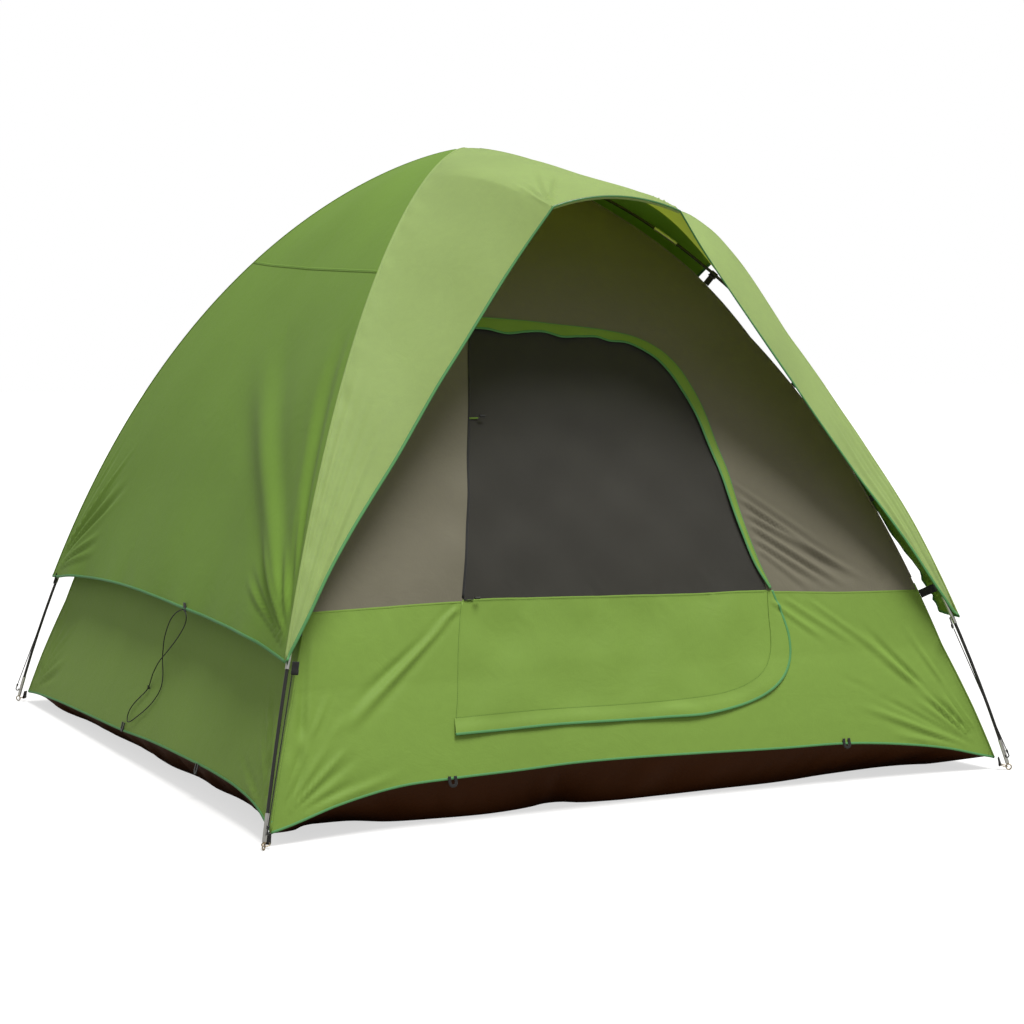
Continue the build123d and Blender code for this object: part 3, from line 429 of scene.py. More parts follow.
def field(u, v, size, seed, n=26):
    """Smooth random field, about -1..1, with features of the given size."""
    g = np.random.RandomState(seed)
    out = np.zeros(np.broadcast(u, v).shape)
    for _ in range(n):
        a = g.uniform(0, 2 * math.pi)
        f = 2 * math.pi / (size * g.uniform(0.7, 1.9))
        out = out + np.cos(f * (u * math.cos(a) + v * math.sin(a)) + g.uniform(0, 2 * math.pi))
    return out / math.sqrt(n) / 1.1


FOLD = 1.7               # depth of every tension fold against its listed height


def crease(u, v, p, q, amp, width, fan=0.0, lift=0.25):
    """One tension fold from p to q: a ridge with a valley each side, fading at both ends."""
    p, q = np.array(p, float), np.array(q, float)
    d = q - p
    L = float(np.linalg.norm(d))
    d /= L
    t = ((u - p[0]) * d[0] + (v - p[1]) * d[1]) / L
    e = (u - p[0]) * -d[1] + (v - p[1]) * d[0]
    w = width * (1 - fan + fan * np.clip(t, 0, 1) * 1.6)
    x = e / np.maximum(w, 1e-4)
    win = ss(t, 0.0, lift) * (1 - ss(t, 0.55, 1.0))
    return FOLD * amp * win * (1 - 1.6 * x ** 2) * np.exp(-x ** 2)


def fan_folds(u, v, anchor, a0, a1, n, length, amp, width, seed, start=0.02):
    g = np.random.RandomState(seed)
    out = 0.0
    for k in range(n):
        a = math.radians(a0 + (a1 - a0) * (k + 0.5) / n + g.uniform(-2.5, 2.5))
        L = length * g.uniform(0.55, 1.1)
        d = np.array([math.cos(a), math.sin(a)])
        p = np.array(anchor) + d * start * g.uniform(0.5, 2.0)
        out = out + crease(u, v, p, p + d * L, amp * g.uniform(0.5, 1.15) * g.choice([-1, 1], p=[0.25, 0.75]),
                           width * g.uniform(0.7, 1.3), fan=0.75, lift=0.16)
    return out


# ---------------------------------------------------------------- the dome's curves
HALF_X, HALF_Y, APEX_Z = 1.200, 1.320, 1.918
R = math.hypot(HALF_X, HALF_Y)
UX, UY = HALF_X / R, HALF_Y / R
T_ = np.linspace(0, 1, 1601)
fa = math.radians(71.66)
CP = [(R, 0.0), (R - 1.771 * math.cos(fa), 1.771 * math.sin(fa)), (0.169, APEX_Z), (0.0, APEX_Z)]
BB = [(1 - T_) ** 3, 3 * (1 - T_) ** 2 * T_, 3 * (1 - T_) * T_ * T_, T_ ** 3]
PR = sum(b * c[0] for b, c in zip(BB, CP))
PZ = sum(b * c[1] for b, c in zip(BB, CP))
DR, DZ = np.gradient(PR), np.gradient(PZ)
DL = np.hypot(DR, DZ)
TR, TZ = DR / DL, DZ / DL
PS = np.concatenate([[0], np.cumsum(np.hypot(np.diff(PR), np.diff(PZ)))])
GAP = np.interp(PZ, [0, .2, .4, 1.36, 1.46, 1.56, 1.76, 1.85, 1.95],
                [.030, .045, .065, .065, .050, .038, .030, .018, .015])
ER, EZ = PR - GAP * TZ, PZ + GAP * TR
FR, FZ = PR + 0.020 * TZ, PZ - 0.020 * TR


# the fly bellies off the pole at the doorway's right shoulder
SHOULDER = np.interp(FZ, [.467, .75, .95, 1.10, 1.22, 1.32, 1.40, 1.50, 1.58, 1.64, 1.70, 1.75, 1.80, 1.84],
                     [0, 0, -.008, -.008, 0, .009, .030, .062, .082, .080, .048, .022, .004, 0])
SHOULDER = np.where(PS > PS[-1] - 0.25, 0.0, SHOULDER)
SHOULDER = np.convolve(np.pad(SHOULDER, 30, mode="edge"), np.hanning(63)[1:-1] / np.hanning(63).sum(), "same")[30:-30]


class Wall:
    """One curved wall of the dome, flattened into (u, s): u across it, s up it."""

    def __init__(self, kind, side):
        r, z = (ER, EZ) if kind == "body" else (FR, FZ)
        self.side = side
        self.k, self.ko = (UY, UX) if side in ("front", "back") else (UX, UY)
        self.h, self.z, self.ru = r * self.k, z, r * self.ko
        self.s = np.concatenate([[0], np.cumsum(np.hypot(np.diff(self.h), np.diff(self.z)))])
        dh, dz = np.gradient(self.h), np.gradient(self.z)
        ln = np.hypot(dh, dz)
        self.nh, self.nz = dz / ln, -dh / ln
        self.sgn = -1 if side in ("front", "left") else 1
        self.flip = side in ("left", "back")
        self.shape = None
        self.shoulder = False
        self.top = float(self.s[-1])

    def s_of(self, z):
        return np.interp(z, self.z, self.s)

    def z_of(self, s):
        return np.interp(s, self.s, self.z)

    def ridge(self, s):
        return np.interp(s, self.s, self.ru)

    def pos(self, u, s, off=0.0):
        u, s = np.asarray(u, float), np.asarray(s, float)
        d = (self.shape(u, s) if self.shape else 0.0) + off
        nh, nz = np.interp(s, self.s, self.nh), np.interp(s, self.s, self.nz)
        h = np.interp(s, self.s, self.h) + nh * d
        z = np.interp(s, self.s, self.z) + nz * d
        if self.side in ("front", "back"):
            return np.stack([u, self.sgn * h, z], axis=-1)
        P = np.stack([self.sgn * h, u, z], axis=-1)
        if self.shoulder:
            b = np.interp(s, self.s, SHOULDER) * (1 - ss(u + self.ridge(s), 0.0, 0.45))
            nr, nz = np.interp(s, self.s, TZ), -np.interp(s, self.s, TR)
            P = P + np.stack([b * nr * UX, -b * nr * UY, b * nz], axis=-1)
        return P

    def normal(self, s):
        nh, nz = np.interp(s, self.s, self.nh), np.interp(s, self.s, self.nz)
        o = np.zeros_like(nh)
        if self.side in ("front", "back"):
            return np.stack([o, self.sgn * nh, nz], axis=-1)
        return np.stack([self.sgn * nh, o, nz], axis=-1)


def inside(P, poly):
    x, y = P[:, 0], P[:, 1]
    c = np.zeros(len(P), bool)
    nxt = np.roll(poly, -1, 0)
    for (a, b), (e, d) in zip(poly, nxt):
        if b == d:
            continue
        c ^= ((b > y) != (d > y)) & (x < (e - a) * (y - b) / (d - b) + a)
    return c


def near(P, B, lim):
    """True where a point of P lies within lim of a point of B."""
    out = np.zeros(len(P), bool)
    for i in range(0, len(P), 2000):
        d = ((P[i:i + 2000, None, :] - B[None]) ** 2).sum(-1)
        out[i:i + 2000] = d.min(1) < lim * lim
    return out


def fill(poly, step, holes=()):
    """Even triangle mesh of a flat region: boundary kept, interior on a hexagonal grid."""
    loops = [poly, *holes]
    pts, edges = [], []
    for lp in loops:
        b = len(pts)
        pts += [tuple(p) for p in lp]
        edges += [(b + i, b + (i + 1) % len(lp)) for i in range(len(lp))]
    B = np.array(pts)
    lo, hi = B.min(0), B.max(0)
    rows = []
    y, k = lo[1] + step * 0.5, 0
    while y < hi[1]:
        xs = np.arange(lo[0] + (0.5 if k % 2 else 0.0) * step, hi[0], step)
        rows.append(np.stack([xs, np.full(len(xs), y)], axis=1))
        y += step * 0.866
        k += 1
    G = np.concatenate(rows)
    G = G[inside(G, poly)]
    for h in holes:
        G = G[~inside(G, h)]
    G = G[~near(G, B, step * 0.55)]
    allp = [Vector(p) for p in pts] + [Vector((float(a), float(b))) for a, b in G]
    v, _, f, _, _, _ = geometry.delaunay_2d_cdt(allp, edges, [], 0, 1e-7)
    V = np.array([(p.x, p.y) for p in v])
    F = np.array([t for t in f if len(t) == 3], int)
    C = V[F].mean(1)
    keep = inside(C, poly)
    for h in holes:
        keep &= ~inside(C, h)
    F = F[keep]
    a, b, c = V[F[:, 0]], V[F[:, 1]], V[F[:, 2]]
    ar = 0.5 * ((b[:, 0] - a[:, 0]) * (c[:, 1] - a[:, 1]) - (c[:, 0] - a[:, 0]) * (b[:, 1] - a[:, 1]))
    F[ar < 0] = F[ar < 0][:, ::-1]
    F = F[abs(ar) > 1e-9]
    used = np.unique(F)
    remap = -np.ones(len(V), int)
    remap[used] = np.arange(len(used))
    return V[used], remap[F], float(np.abs(ar).sum())


def loop_poly(parts, step):
    out = []
    for p in parts:
        q = resample(p, step)
        if out and np.linalg.norm(q[0] - out[-1]) < 1e-4:
            q = q[1:]
        out += [tuple(x) for x in q]
    if np.linalg.norm(np.array(out[0]) - np.array(out[-1])) < 1e-4:
        out.pop()
    return np.array(out)


def panel(name, wall, poly, mat, step, off=0.0, thick=0.0011, holes=()):
    V, F, area = fill(poly, step, holes)
    P = wall.pos(V[:, 0], V[:, 1], off)
    if wall.flip:
        F = F[:, ::-1]
    o = mesh_object(name, P, F, mat, V)
    md = o.modifiers.new("cloth_thickness", "SOLIDIFY")
    md.thickness = thick
    md.offset = -1.0
    best = None
    for deg in range(0, 90, 3):                # the smallest rectangle that holds the pattern
        a = math.radians(deg)
        W = V @ np.array([[math.cos(a), -math.sin(a)], [math.sin(a), math.cos(a)]])
        ext = W.max(0) - W.min(0)
        if best is None or ext[0] * ext[1] < best[0] * best[1]:
            best = ext
    o["_flat"] = [float(best[0]), float(best[1]), area]
    return o


def declare(o):
    w, l, a = o["_flat"]
    del o["_flat"]
    a = max(a, 0.3001 * w * l)


def stitches(name, P, N, mat, pitch=0.0062, length=0.0042, r=0.0007, off=0.0006):
    """A row of lockstitches as small lozenges along a line."""
    P, N = np.asarray(P, float), np.asarray(N, float)
    L = np.concatenate([[0], np.cumsum(np.linalg.norm(np.diff(P, axis=0), axis=1))])
    q = np.arange(pitch, L[-1] - pitch, pitch)
    C = np.stack([np.interp(q, L, P[:, k]) for k in range(3)], axis=1)
    NN = np.stack([np.interp(q, L, N[:, k]) for k in range(3)], axis=1)
    T = curve_tangents(C)
    NN -= T * np.sum(NN * T, axis=1, keepdims=True)
    NN /= np.linalg.norm(NN, axis=1, keepdims=True)
    S = np.cross(T, NN)
    verts, faces = [], []
    for c, t, n, s in zip(C, T, NN, S):
        b = len(verts)
        c = c + n * off
        verts += [c - t * length / 2 - n * r, c + s * r, c + n * r, c - s * r, c + t * length / 2 - n * r]
        faces += [(b, b + 1, b + 2), (b, b + 2, b + 3), (b + 4, b + 2, b + 1), (b + 4, b + 3, b + 2), (b, b + 3, b + 4, b + 1)]
    o = mesh_object(name, verts, faces, mat)
    fix_normals(o)
    return o


# ---------------------------------------------------------------- cords
def cord_curve(name, pts, dia, mat):
    cu = bpy.data.curves.new(name, "CURVE")
    cu.dimensions = "3D"
    sp = cu.splines.new("NURBS")
    sp.points.add(len(pts) - 1)
    for p, q in zip(sp.points, pts):
        p.co = (q[0], q[1], q[2], 1.0)
    sp.order_u = 3
    sp.use_endpoint_u = True
    cu.resolution_u = 10
    cu.bevel_depth = dia / 2
    cu.bevel_resolution = 4
    cu.use_fill_caps = True
    cu.materials.append(mat)
    return link(bpy.data.objects.new(name, cu))


GUY = [(-1.0796, -.290, .503), (-1.083, -.257, .495), (-1.082, -.214, .481), (-1.083, -.172, .458),
       (-1.082, -.136, .428), (-1.083, -.109, .395), (-1.082, -.095, .364), (-1.083, -.089, .336),
       (-1.087, -.102, .311), (-1.093, -.126, .291), (-1.100, -.143, .270), (-1.107, -.150, .249),
       (-1.115, -.140, .226), (-1.125, -.111, .197), (-1.134, -.066, .169), (-1.144, -.012, .141),
       (-1.151, .032, .120), (-1.153, .066, .112), (-1.148, .080, .128), (-1.142, .074, .150),
       (-1.134, .052, .173), (-1.125, .016, .197), (-1.118, -.018, .217), (-1.112, -.038, .236),
       (-1.107, -.042, .256), (-1.104, -.052, .277), (-1.101, -.072, .298), (-1.098, -.101, .323),
       (-1.093, -.147, .350), (-1.087, -.200, .383), (-1.083, -.256, .418), (-1.082, -.306, .451),
       (-1.083, -.334, .477), (-1.082, -.328, .496), (-1.0796, -.304, .504)]
guy = cord_curve("guy_line", GUY, 0.0032, M_CORD)
place(guy, "fly", ["guy_cord"])

corner_cords = {}
CORD_PTS = {
    "fl": [(-1.07386, -1.19982, 0.42709), (-1.13013, -1.26060, 0.24455), (-1.18639, -1.32138, 0.06200)],
    "fr": [(1.07386, -1.19982, 0.42709), (1.13013, -1.26060, 0.24455), (1.18639, -1.32138, 0.06200)],
    "bl": [(-1.08833, 1.17858, 0.43909), (-1.14550, 1.24258, 0.25055), (-1.20267, 1.30659, 0.06200)],
    "br": [(1.08833, 1.17858, 0.43909), (1.14550, 1.24258, 0.25055), (1.20267, 1.30659, 0.06200)],
}
for c, pts in CORD_PTS.items():
    corner_cords[c] = cord_curve(f"corner_elastic_{c}", pts, 0.003, M_CORD)
    place(corner_cords[c], "fly", [f"corner_cord_{c}"])

# ---------------------------------------------------------------- walls' shapes
SEAM = catmull([(-1.060, .575), (-.973, .577), (-.719, .582), (-.531, .585), (-.099, .575), (.232, .567), (.491, .563),
                (.757, .548), (1.009, .541), (1.080, .540)], 160)
FRONT_HEM = catmull([(-1.172, .035), (-1.131, .044), (-.969, .088), (-.793, .119), (-.640, .126), (-.435, .131),
                     (-.279, .136), (-.057, .135), (.139, .130), (.408, .122), (.653, .117), (.831, .101), (1.010, .074),
                     (1.130, .045), (1.172, .036)], 200)
SIDE_HEM = catmull([(-1.290, .037), (-1.174, .072), (-.982, .096), (-.802, .102), (-.506, .100), (-.196, .094),
                    (.122, .080), (.520, .070), (.939, .058), (1.200, .044), (1.290, .036)], 200)
FLY_SIDE_HEM = catmull([(-1.230, .462), (-1.193, .465), (-.973, .487), (-.785, .496), (-.497, .504), (-.267, .508),
                        (-.039, .512), (.192, .515), (.547, .510), (.909, .492), (1.124, .470), (1.230, .462)], 200)


def seam_z(x):
    return np.interp(x, SEAM[:, 0], SEAM[:, 1])


bf, bb_, bl_, br_ = Wall("body", "front"), Wall("body", "back"), Wall("body", "left"), Wall("body", "right")
ff, fbk, fl_, fr_ = Wall("fly", "front"), Wall("fly", "back"), Wall("fly", "left"), Wall("fly", "right")


def xs(wall, pts):
    """(u, z) points to the wall's own (u, s)."""
    return [(u, float(wall.s_of(z))) for u, z in pts]


def pucker(u, v, dist, seed, amp=0.0012, reach=0.055, size=0.055):
    return amp * np.exp(-np.abs(dist) / reach) * field(u, v * 0.35, size, seed)


def front_shape(u, s):
    z = bf.z_of(s)
    ridge = bf.ridge(s) - np.abs(u)
    d = -0.011 * ss(ridge, 0.0, 0.55) * ss(z, 0.27, 0.62) * (1 - ss(z, 1.25, 1.62))
    d = d + 0.0030 * field(u, s, 0.42, 11) * ss(z, 0.27, 0.55)
    S = bf.s_of
    # drape folds: left corner, the long one below the door's hinge, right corner and right grey panel
    d = d + crease(u, s, (-.535, S(.575)), (-.985, S(.225)), 0.0050, 0.020, 0.5, 0.06)
    d = d + crease(u, s, (-.545, S(.560)), (-.900, S(.330)), -0.0022, 0.016, 0.5, 0.10)
    d = d + crease(u, s, (-1.035, S(.545)), (-1.125, S(.075)), 0.0075, 0.018, 0.2, 0.12)
    d = d + crease(u, s, (-1.000, S(.535)), (-1.085, S(.080)), -0.0050, 0.016, 0.2, 0.15)
    d = d + fan_folds(u, s, (-1.15, S(.05)), 12, 62, 6, 0.42, 0.0030, 0.012, 3)
    d = d + fan_folds(u, s, (1.15, S(.05)), 112, 168, 8, 0.55, 0.0036, 0.013, 4)
    for k, (a, b) in enumerate([((.425, .845), (.80, .585)), ((.435, .800), (.86, .560)), ((.445, .765), (.78, .548)),
                                ((.450, .725), (.72, .550)), ((.462, .690), (.64, .552)), ((.412, .890), (.74, .660)),
                                ((.470, .540), (.66, .400)), ((.520, .545), (.76, .380)), ((.600, .540), (.86, .340))]):
        d = d + crease(u, s, (a[0], S(a[1])), (b[0], S(b[1])), (0.0046, 0.0040, 0.0046, 0.0036, 0.0028, 0.0022, 0.0026, 0.0020, 0.0016)[k],
                       0.013, 0.35, 0.12)
    # puckers where the panels are sewn
    d = d + pucker(u, s, s - S(.574), 21) + pucker(u, s, ridge, 22, 0.0010)
    door = ss(u, -.62, -.50) * (1 - ss(u, .40, .50)) * ss(z, .20, .30) * (1 - ss(z, 1.30, 1.42))
    d = d + 0.0022 * door * field(u, s, 0.20, 23)
    for x0 in (-.36, -.10, .10, .27):
        d = d + crease(u, s, (x0, S(.575)), (x0 + .03, S(.50)), 0.0012, 0.012, 0.3, 0.15)
        d = d + crease(u, s, (x0 + .02, S(.582)), (x0 - .03, S(.66)), 0.0010, 0.010, 0.3, 0.15)
    return d * ss(ridge, 0.0, 0.045) * (0.15 + 0.85 * ss(np.abs(z - 0.246), 0.0, 0.05)) * ss(s, float(S(.06)), float(S(.13)))


def side_shape(wall, seed, skip_guy=True):
    S = wall.s_of

    def f(u, s):
        z = wall.z_of(s)
        ridge = wall.ridge(s) - np.abs(u)
        d = -0.010 * ss(ridge, 0.0, 0.6) * ss(z, 0.25, 0.7) * (1 - ss(z, 1.25, 1.62))
        d = d - 0.0030 * ss(ridge, 0.0, 0.4) * (0.6 + 0.4 * field(u, s, 0.38, seed)) * ss(z, 0.10, 0.3)
        for sg in (-1, 1):
            a0, a1 = (12, 70) if sg < 0 else (110, 168)
            d = d + fan_folds(u, s, (sg * 1.27, S(.05)), a0, a1, 7, 0.5, 0.0028, 0.013, seed + 2 + sg)
        d = d + pucker(u, s, s - S(.570), seed + 5) + pucker(u, s, ridge, seed + 6, 0.0010)
        return d * ss(ridge, 0.0, 0.045) * ss(s, float(S(.05)), float(S(.12)))
    return f


bf.shape = front_shape
bb_.shape = side_shape(bb_, 40)
bl_.shape = side_shape(bl_, 50)
br_.shape = side_shape(br_, 60)


def fly_side_shape(wall, seed, front_sign=-1):
    S = wall.s_of

    def f(u, s):
        z = wall.z_of(s)
        ridge = wall.ridge(s) - np.abs(u)
        d = -0.020 * ss(ridge, 0.0, 0.75) * ss(z, 0.46, 0.9) * (1 - ss(z, 1.55, 1.85))
        d = d + 0.0060 * field(u * 0.8, s * 0.55, 0.55, seed) * ss(ridge, 0, 0.30)
        # long soft fold from high on the panel to the front corner
        d = d + crease(u, s, (front_sign * 1.19, S(.50)), (front_sign * -.10, S(1.36)), 0.0085, 0.085, 0.55, 0.18)
        d = d + crease(u, s, (front_sign * 1.20, S(.49)), (front_sign * .62, S(1.42)), -0.0060, 0.050, 0.55, 0.18)
        for sg in (-1, 1):
            a0, a1 = (14, 82) if sg < 0 else (98, 166)
            d = d + fan_folds(u, s, (sg * 1.215, S(.485)), a0, a1, 9, 0.62, 0.0050, 0.017, seed + 4 + sg)
        d = d + pucker(u, s, ridge, seed + 8, 0.0016, 0.05, 0.07)
        hem = s - np.interp(u, FLY_SIDE_HEM[:, 0], S(FLY_SIDE_HEM[:, 1]))
        d = d + 0.0045 * np.exp(-np.abs(hem) / 0.10) * field(u, s * 0.2, 0.30, seed + 9)
        return d * ss(ridge, 0.0, 0.07)
    return f


fl_.shape = fly_side_shape(fl_, 70)
fr_.shape = fly_side_shape(fr_, 80)
fr_.shoulder = True
fbk.shape = fly_side_shape(fbk, 90, 1)

STEP = 0.016
FRONT_STEP = 0.009
ROOF_Z = 1.780


def ridge_line(wall, z0, z1, sign, n=80):
    s = np.linspace(wall.s_of(z0), wall.s_of(z1), n)
    return np.stack([sign * wall.ridge(s), s], axis=1)


def hem_line(wall, table):
    """The part of a hem curve between the wall's ridges."""
    u = table[:, 0]
    s = wall.s_of(table[:, 1])
    keep = np.abs(u) < wall.ridge(s) - 1e-4
    u, s = u[keep], s[keep]
    ends = []
    for sg in (-1, 1):
        zz = np.interp(sg * 1.2, table[:, 0], table[:, 1])
        e = float(wall.s_of(zz))
        ends.append((sg * float(wall.ridge(e)), e))
    return np.array([ends[0], *zip(u, s), ends[1]])


# ---------------------------------------------------------------- the door's outline on the front wall
DOOR = np.array([(-.611, .250), (-.450, .250), (-.250, .250), (0, .250), (.170, .254), (.270, .262), (.350, .275),
                 (.402, .292), (.444, .316), (.477, .348), (.497, .388), (.503, .450), (.492, .502), (.472, .560),
                 (.455, .640), (.436, .740), (.418, .850), (.402, .960), (.376, 1.100), (.341, 1.205), (.312, 1.252),
                 (.268, 1.288), (.214, 1.311), (.145, 1.327), (.060, 1.338), (-.040, 1.346), (-.190, 1.353),
                 (-.309, 1.357), (-.334, 1.302), (-.370, 1.189), (-.401, 1.079), (-.433, .964), (-.463, .839),
                 (-.494, .719), (-.526, .591), (-.556, .480), (-.588, .325)])


def inset(poly, d):
    n = len(poly)
    res = []
    for i in range(n):
        a, b, c = poly[i - 1], poly[i], poly[(i + 1) % n]
        e1, e2 = (b - a) / np.linalg.norm(b - a), (c - b) / np.linalg.norm(c - b)
        n1, n2 = np.array([-e1[1], e1[0]]), np.array([-e2[1], e2[0]])
        m = n1 + n2
        m /= np.linalg.norm(m)
        res.append(b + m * d / max(m @ n1, 0.5))
    return np.array(res)


def split_door(poly, shift=0.0):
    """Outline below and above the colour seam, each starting at the seam."""
    closed = np.vstack([poly, poly[:1]])
    P = []
    for a, b in zip(closed[:-1], closed[1:]):
        n = max(1, int(np.linalg.norm(b - a) / 0.012))
        P += [a + (b - a) * k / n for k in range(n)]
    P = np.array(P)
    low = P[:, 1] < seam_z(P[:, 0]) + shift
    i1 = int(np.argmin(low))                       # first point above, on the right side
    i2 = len(P) - int(np.argmin(low[::-1]))        # first point below again, on the hinge side
    right = np.array([P[i1][0], seam_z(P[i1][0]) + shift])
    left = np.array([P[i2 - 1][0], seam_z(P[i2 - 1][0]) + shift])
    low_run = np.vstack([[left], P[i2:], P[:i1], [right]])
    high_run = np.vstack([[right], P[i1 + 1:i2 - 1], [left]])
    return low_run, high_run


def on_chart(wall, P):
    P = np.asarray(P, float)
    return np.stack([P[:, 0], wall.s_of(P[:, 1])], axis=1)


def seam_between(x0, x1, shift=0.0, n=60):
    x = np.linspace(x0, x1, n)
    return np.stack([x, seam_z(x) + shift], axis=1)


low_run, high_run = split_door(DOOR)
hl, hr = low_run[0], low_run[-1]
sl0, sr0 = float(seam_z(-1.06)), float(seam_z(1.06))
rl = float(bf.ridge(bf.s_of(sl0)))
rr_ = float(bf.ridge(bf.s_of(sr0)))
hem_f = hem_line(bf, FRONT_HEM)
low_poly = loop_poly([
    hem_f, ridge_line(bf, float(bf.z_of(hem_f[-1][1])), sr0, 1),
    on_chart(bf, seam_between(rr_, hr[0])), on_chart(bf, low_run[::-1]),
    on_chart(bf, seam_between(hl[0], -rl)), ridge_line(bf, sl0, float(bf.z_of(hem_f[0][1])), -1)], FRONT_STEP)
front_low = panel("front_wall_green", bf, low_poly, M_GREEN, FRONT_STEP)
place(front_low, "root", ["front_wall_lower"])
s_roof = float(bf.s_of(ROOF_Z))
up_poly = loop_poly([
    on_chart(bf, seam_between(-rl, hl[0])), on_chart(bf, high_run[::-1]), on_chart(bf, seam_between(hr[0], rr_)),
    ridge_line(bf, sr0, ROOF_Z, 1), [(float(bf.ridge(s_roof)), s_roof), (-float(bf.ridge(s_roof)), s_roof)],
    ridge_line(bf, ROOF_Z, sl0, -1)], FRONT_STEP)
front_up = panel("front_wall_grey", bf, up_poly, M_GREY, FRONT_STEP)
place(front_up, "root", ["front_wall_upper"])


def plain_wall(tag, wall, hem_tab, lower_node, upper_node, zs=0.567):
    h = hem_line(wall, hem_tab)
    p = loop_poly([h, ridge_line(wall, float(wall.z_of(h[-1][1])), zs, 1),
                   [(float(wall.ridge(wall.s_of(zs))), float(wall.s_of(zs))), (-float(wall.ridge(wall.s_of(zs))), float(wall.s_of(zs)))],
                   ridge_line(wall, zs, float(wall.z_of(h[0][1])), -1)], STEP)
    a = panel(f"{tag}_wall_green", wall, p, M_GREEN, STEP)
    place(a, "root", [lower_node])
    q = loop_poly([[(-float(wall.ridge(wall.s_of(zs))), float(wall.s_of(zs))), (float(wall.ridge(wall.s_of(zs))), float(wall.s_of(zs)))],
                   ridge_line(wall, zs, ROOF_Z, 1),
                   [(float(wall.ridge(wall.s_of(ROOF_Z))), float(wall.s_of(ROOF_Z))), (-float(wall.ridge(wall.s_of(ROOF_Z))), float(wall.s_of(ROOF_Z)))],
                   ridge_line(wall, ROOF_Z, zs, -1)], max(STEP, 0.022))
    b = panel(f"{tag}_wall_grey", wall, q, M_GREY, max(STEP, 0.022))
    place(b, "root", [upper_node])
    return a, b, h


lw, lu, hem_l = plain_wall("left", bl_, SIDE_HEM, "left_wall_lower", "left_wall_upper")
rw, ru_, hem_r = plain_wall("right", br_, SIDE_HEM, "right_wall_lower", "right_wall_upper")
bw_, bu, hem_b = plain_wall("back", bb_, FRONT_HEM, "back_wall_lower", "back_wall_upper")

# roof netting: one sheet over the four faces of the crown
nz_ = 34
zs_roof = EZ[(EZ > ROOF_Z) & (np.arange(len(EZ)) % 12 == 0)]
rings_z = np.concatenate([[ROOF_Z], zs_roof, [EZ[-1]]])
verts, faces, uvs = [], [], []
per = 24
for z in rings_z:
    r = float(np.interp(z, EZ, ER))
    for (x0, y0), (x1, y1) in (((-1, -1), (1, -1)), ((1, -1), (1, 1)), ((1, 1), (-1, 1)), ((-1, 1), (-1, -1))):
        for k in range(per):
            f = k / per
            x, y = (x0 + (x1 - x0) * f) * r * UX, (y0 + (y1 - y0) * f) * r * UY
            dome = 0.006 * math.sin(math.pi * f) * min(r / 0.3, 1.0)
            verts.append((x * (1 - dome), y * (1 - dome), z - 0.0015))
            uvs.append((x, y))
nr = 4 * per
for i in range(len(rings_z) - 1):
    for k in range(nr):
        q = (k + 1) % nr
        if float(np.interp(rings_z[i + 1], EZ, ER)) < 0.004 and i == len(rings_z) - 2:
            faces.append((i * nr + k, i * nr + q, (i + 1) * nr))
        else:
            faces.append((i * nr + k, i * nr + q, (i + 1) * nr + q, (i + 1) * nr + k))
roof = mesh_object("roof_netting_sheet", verts, faces, M_ROOF, uvs)
import bmesh
bm = bmesh.new()
bm.from_mesh(roof.data)
bmesh.ops.remove_doubles(bm, verts=bm.verts, dist=0.0004)
loose = [v for v in bm.verts if not v.link_faces]
bmesh.ops.delete(bm, geom=loose, context="VERTS")
area_roof = sum(f.calc_area() for f in bm.faces)
bm.to_mesh(roof.data)
bm.free()
md = roof.modifiers.new("cloth_thickness", "SOLIDIFY")
md.thickness, md.offset = 0.0008, -1.0
rx = 2 * float(np.interp(ROOF_Z, EZ, ER))
roof["_flat"] = [rx * UX * 1.06, rx * UY * 1.06, min(area_roof, rx * UX * rx * UY * 1.06 * 1.06 * 0.999)]
place(roof, "root", ["roof_mesh"])

# ---------------------------------------------------------------- floor tub
GROUND = {
    "front": [(-1.040, -1.130), (-1.004, -1.092), (-.940, -1.088), (-.875, -1.094), (-.789, -1.146), (-.648, -1.172),
              (-.488, -1.180), (-.400, -1.166), (-.346, -1.150), (-.295, -1.128), (-.244, -1.130), (-.205, -1.158),
              (-.120, -1.176), (.050, -1.178), (.250, -1.172), (.471, -1.164), (.640, -1.134), (.760, -1.120), (.879, -1.112),
              (.980, -1.122), (1.040, -1.140)],
    "left": [(-1.040, 1.150), (-1.090, 1.040), (-1.082, .740), (-1.076, .452), (-1.062, .150), (-1.071, -.145), (-1.050, -.360),
             (-1.056, -.523), (-1.044, -.700), (-1.047, -.819), (-1.062, -1.000), (-1.040, -1.130)],
}
gf = catmull(GROUND["front"], 260)
gl = catmull(GROUND["left"], 260)
gr = gl[::-1] * np.array([-1, 1])
gb = gf[::-1] * np.array([1, -1]) + np.array([0, 0])


def side_pairs(wall, hem, ground, n):
    """Matched hem and ground points along one side, by share of length."""
    P = wall.pos(hem[:, 0], hem[:, 1])
    P = resample(P, 0.01)
    q = np.linspace(0, 1, n)
    a = np.stack([np.interp(q, np.linspace(0, 1, len(P)), P[:, k]) for k in range(3)], axis=1)
    g = np.stack([np.interp(q, np.linspace(0, 1, len(ground)), ground[:, k]) for k in range(2)], axis=1)
    return a, g


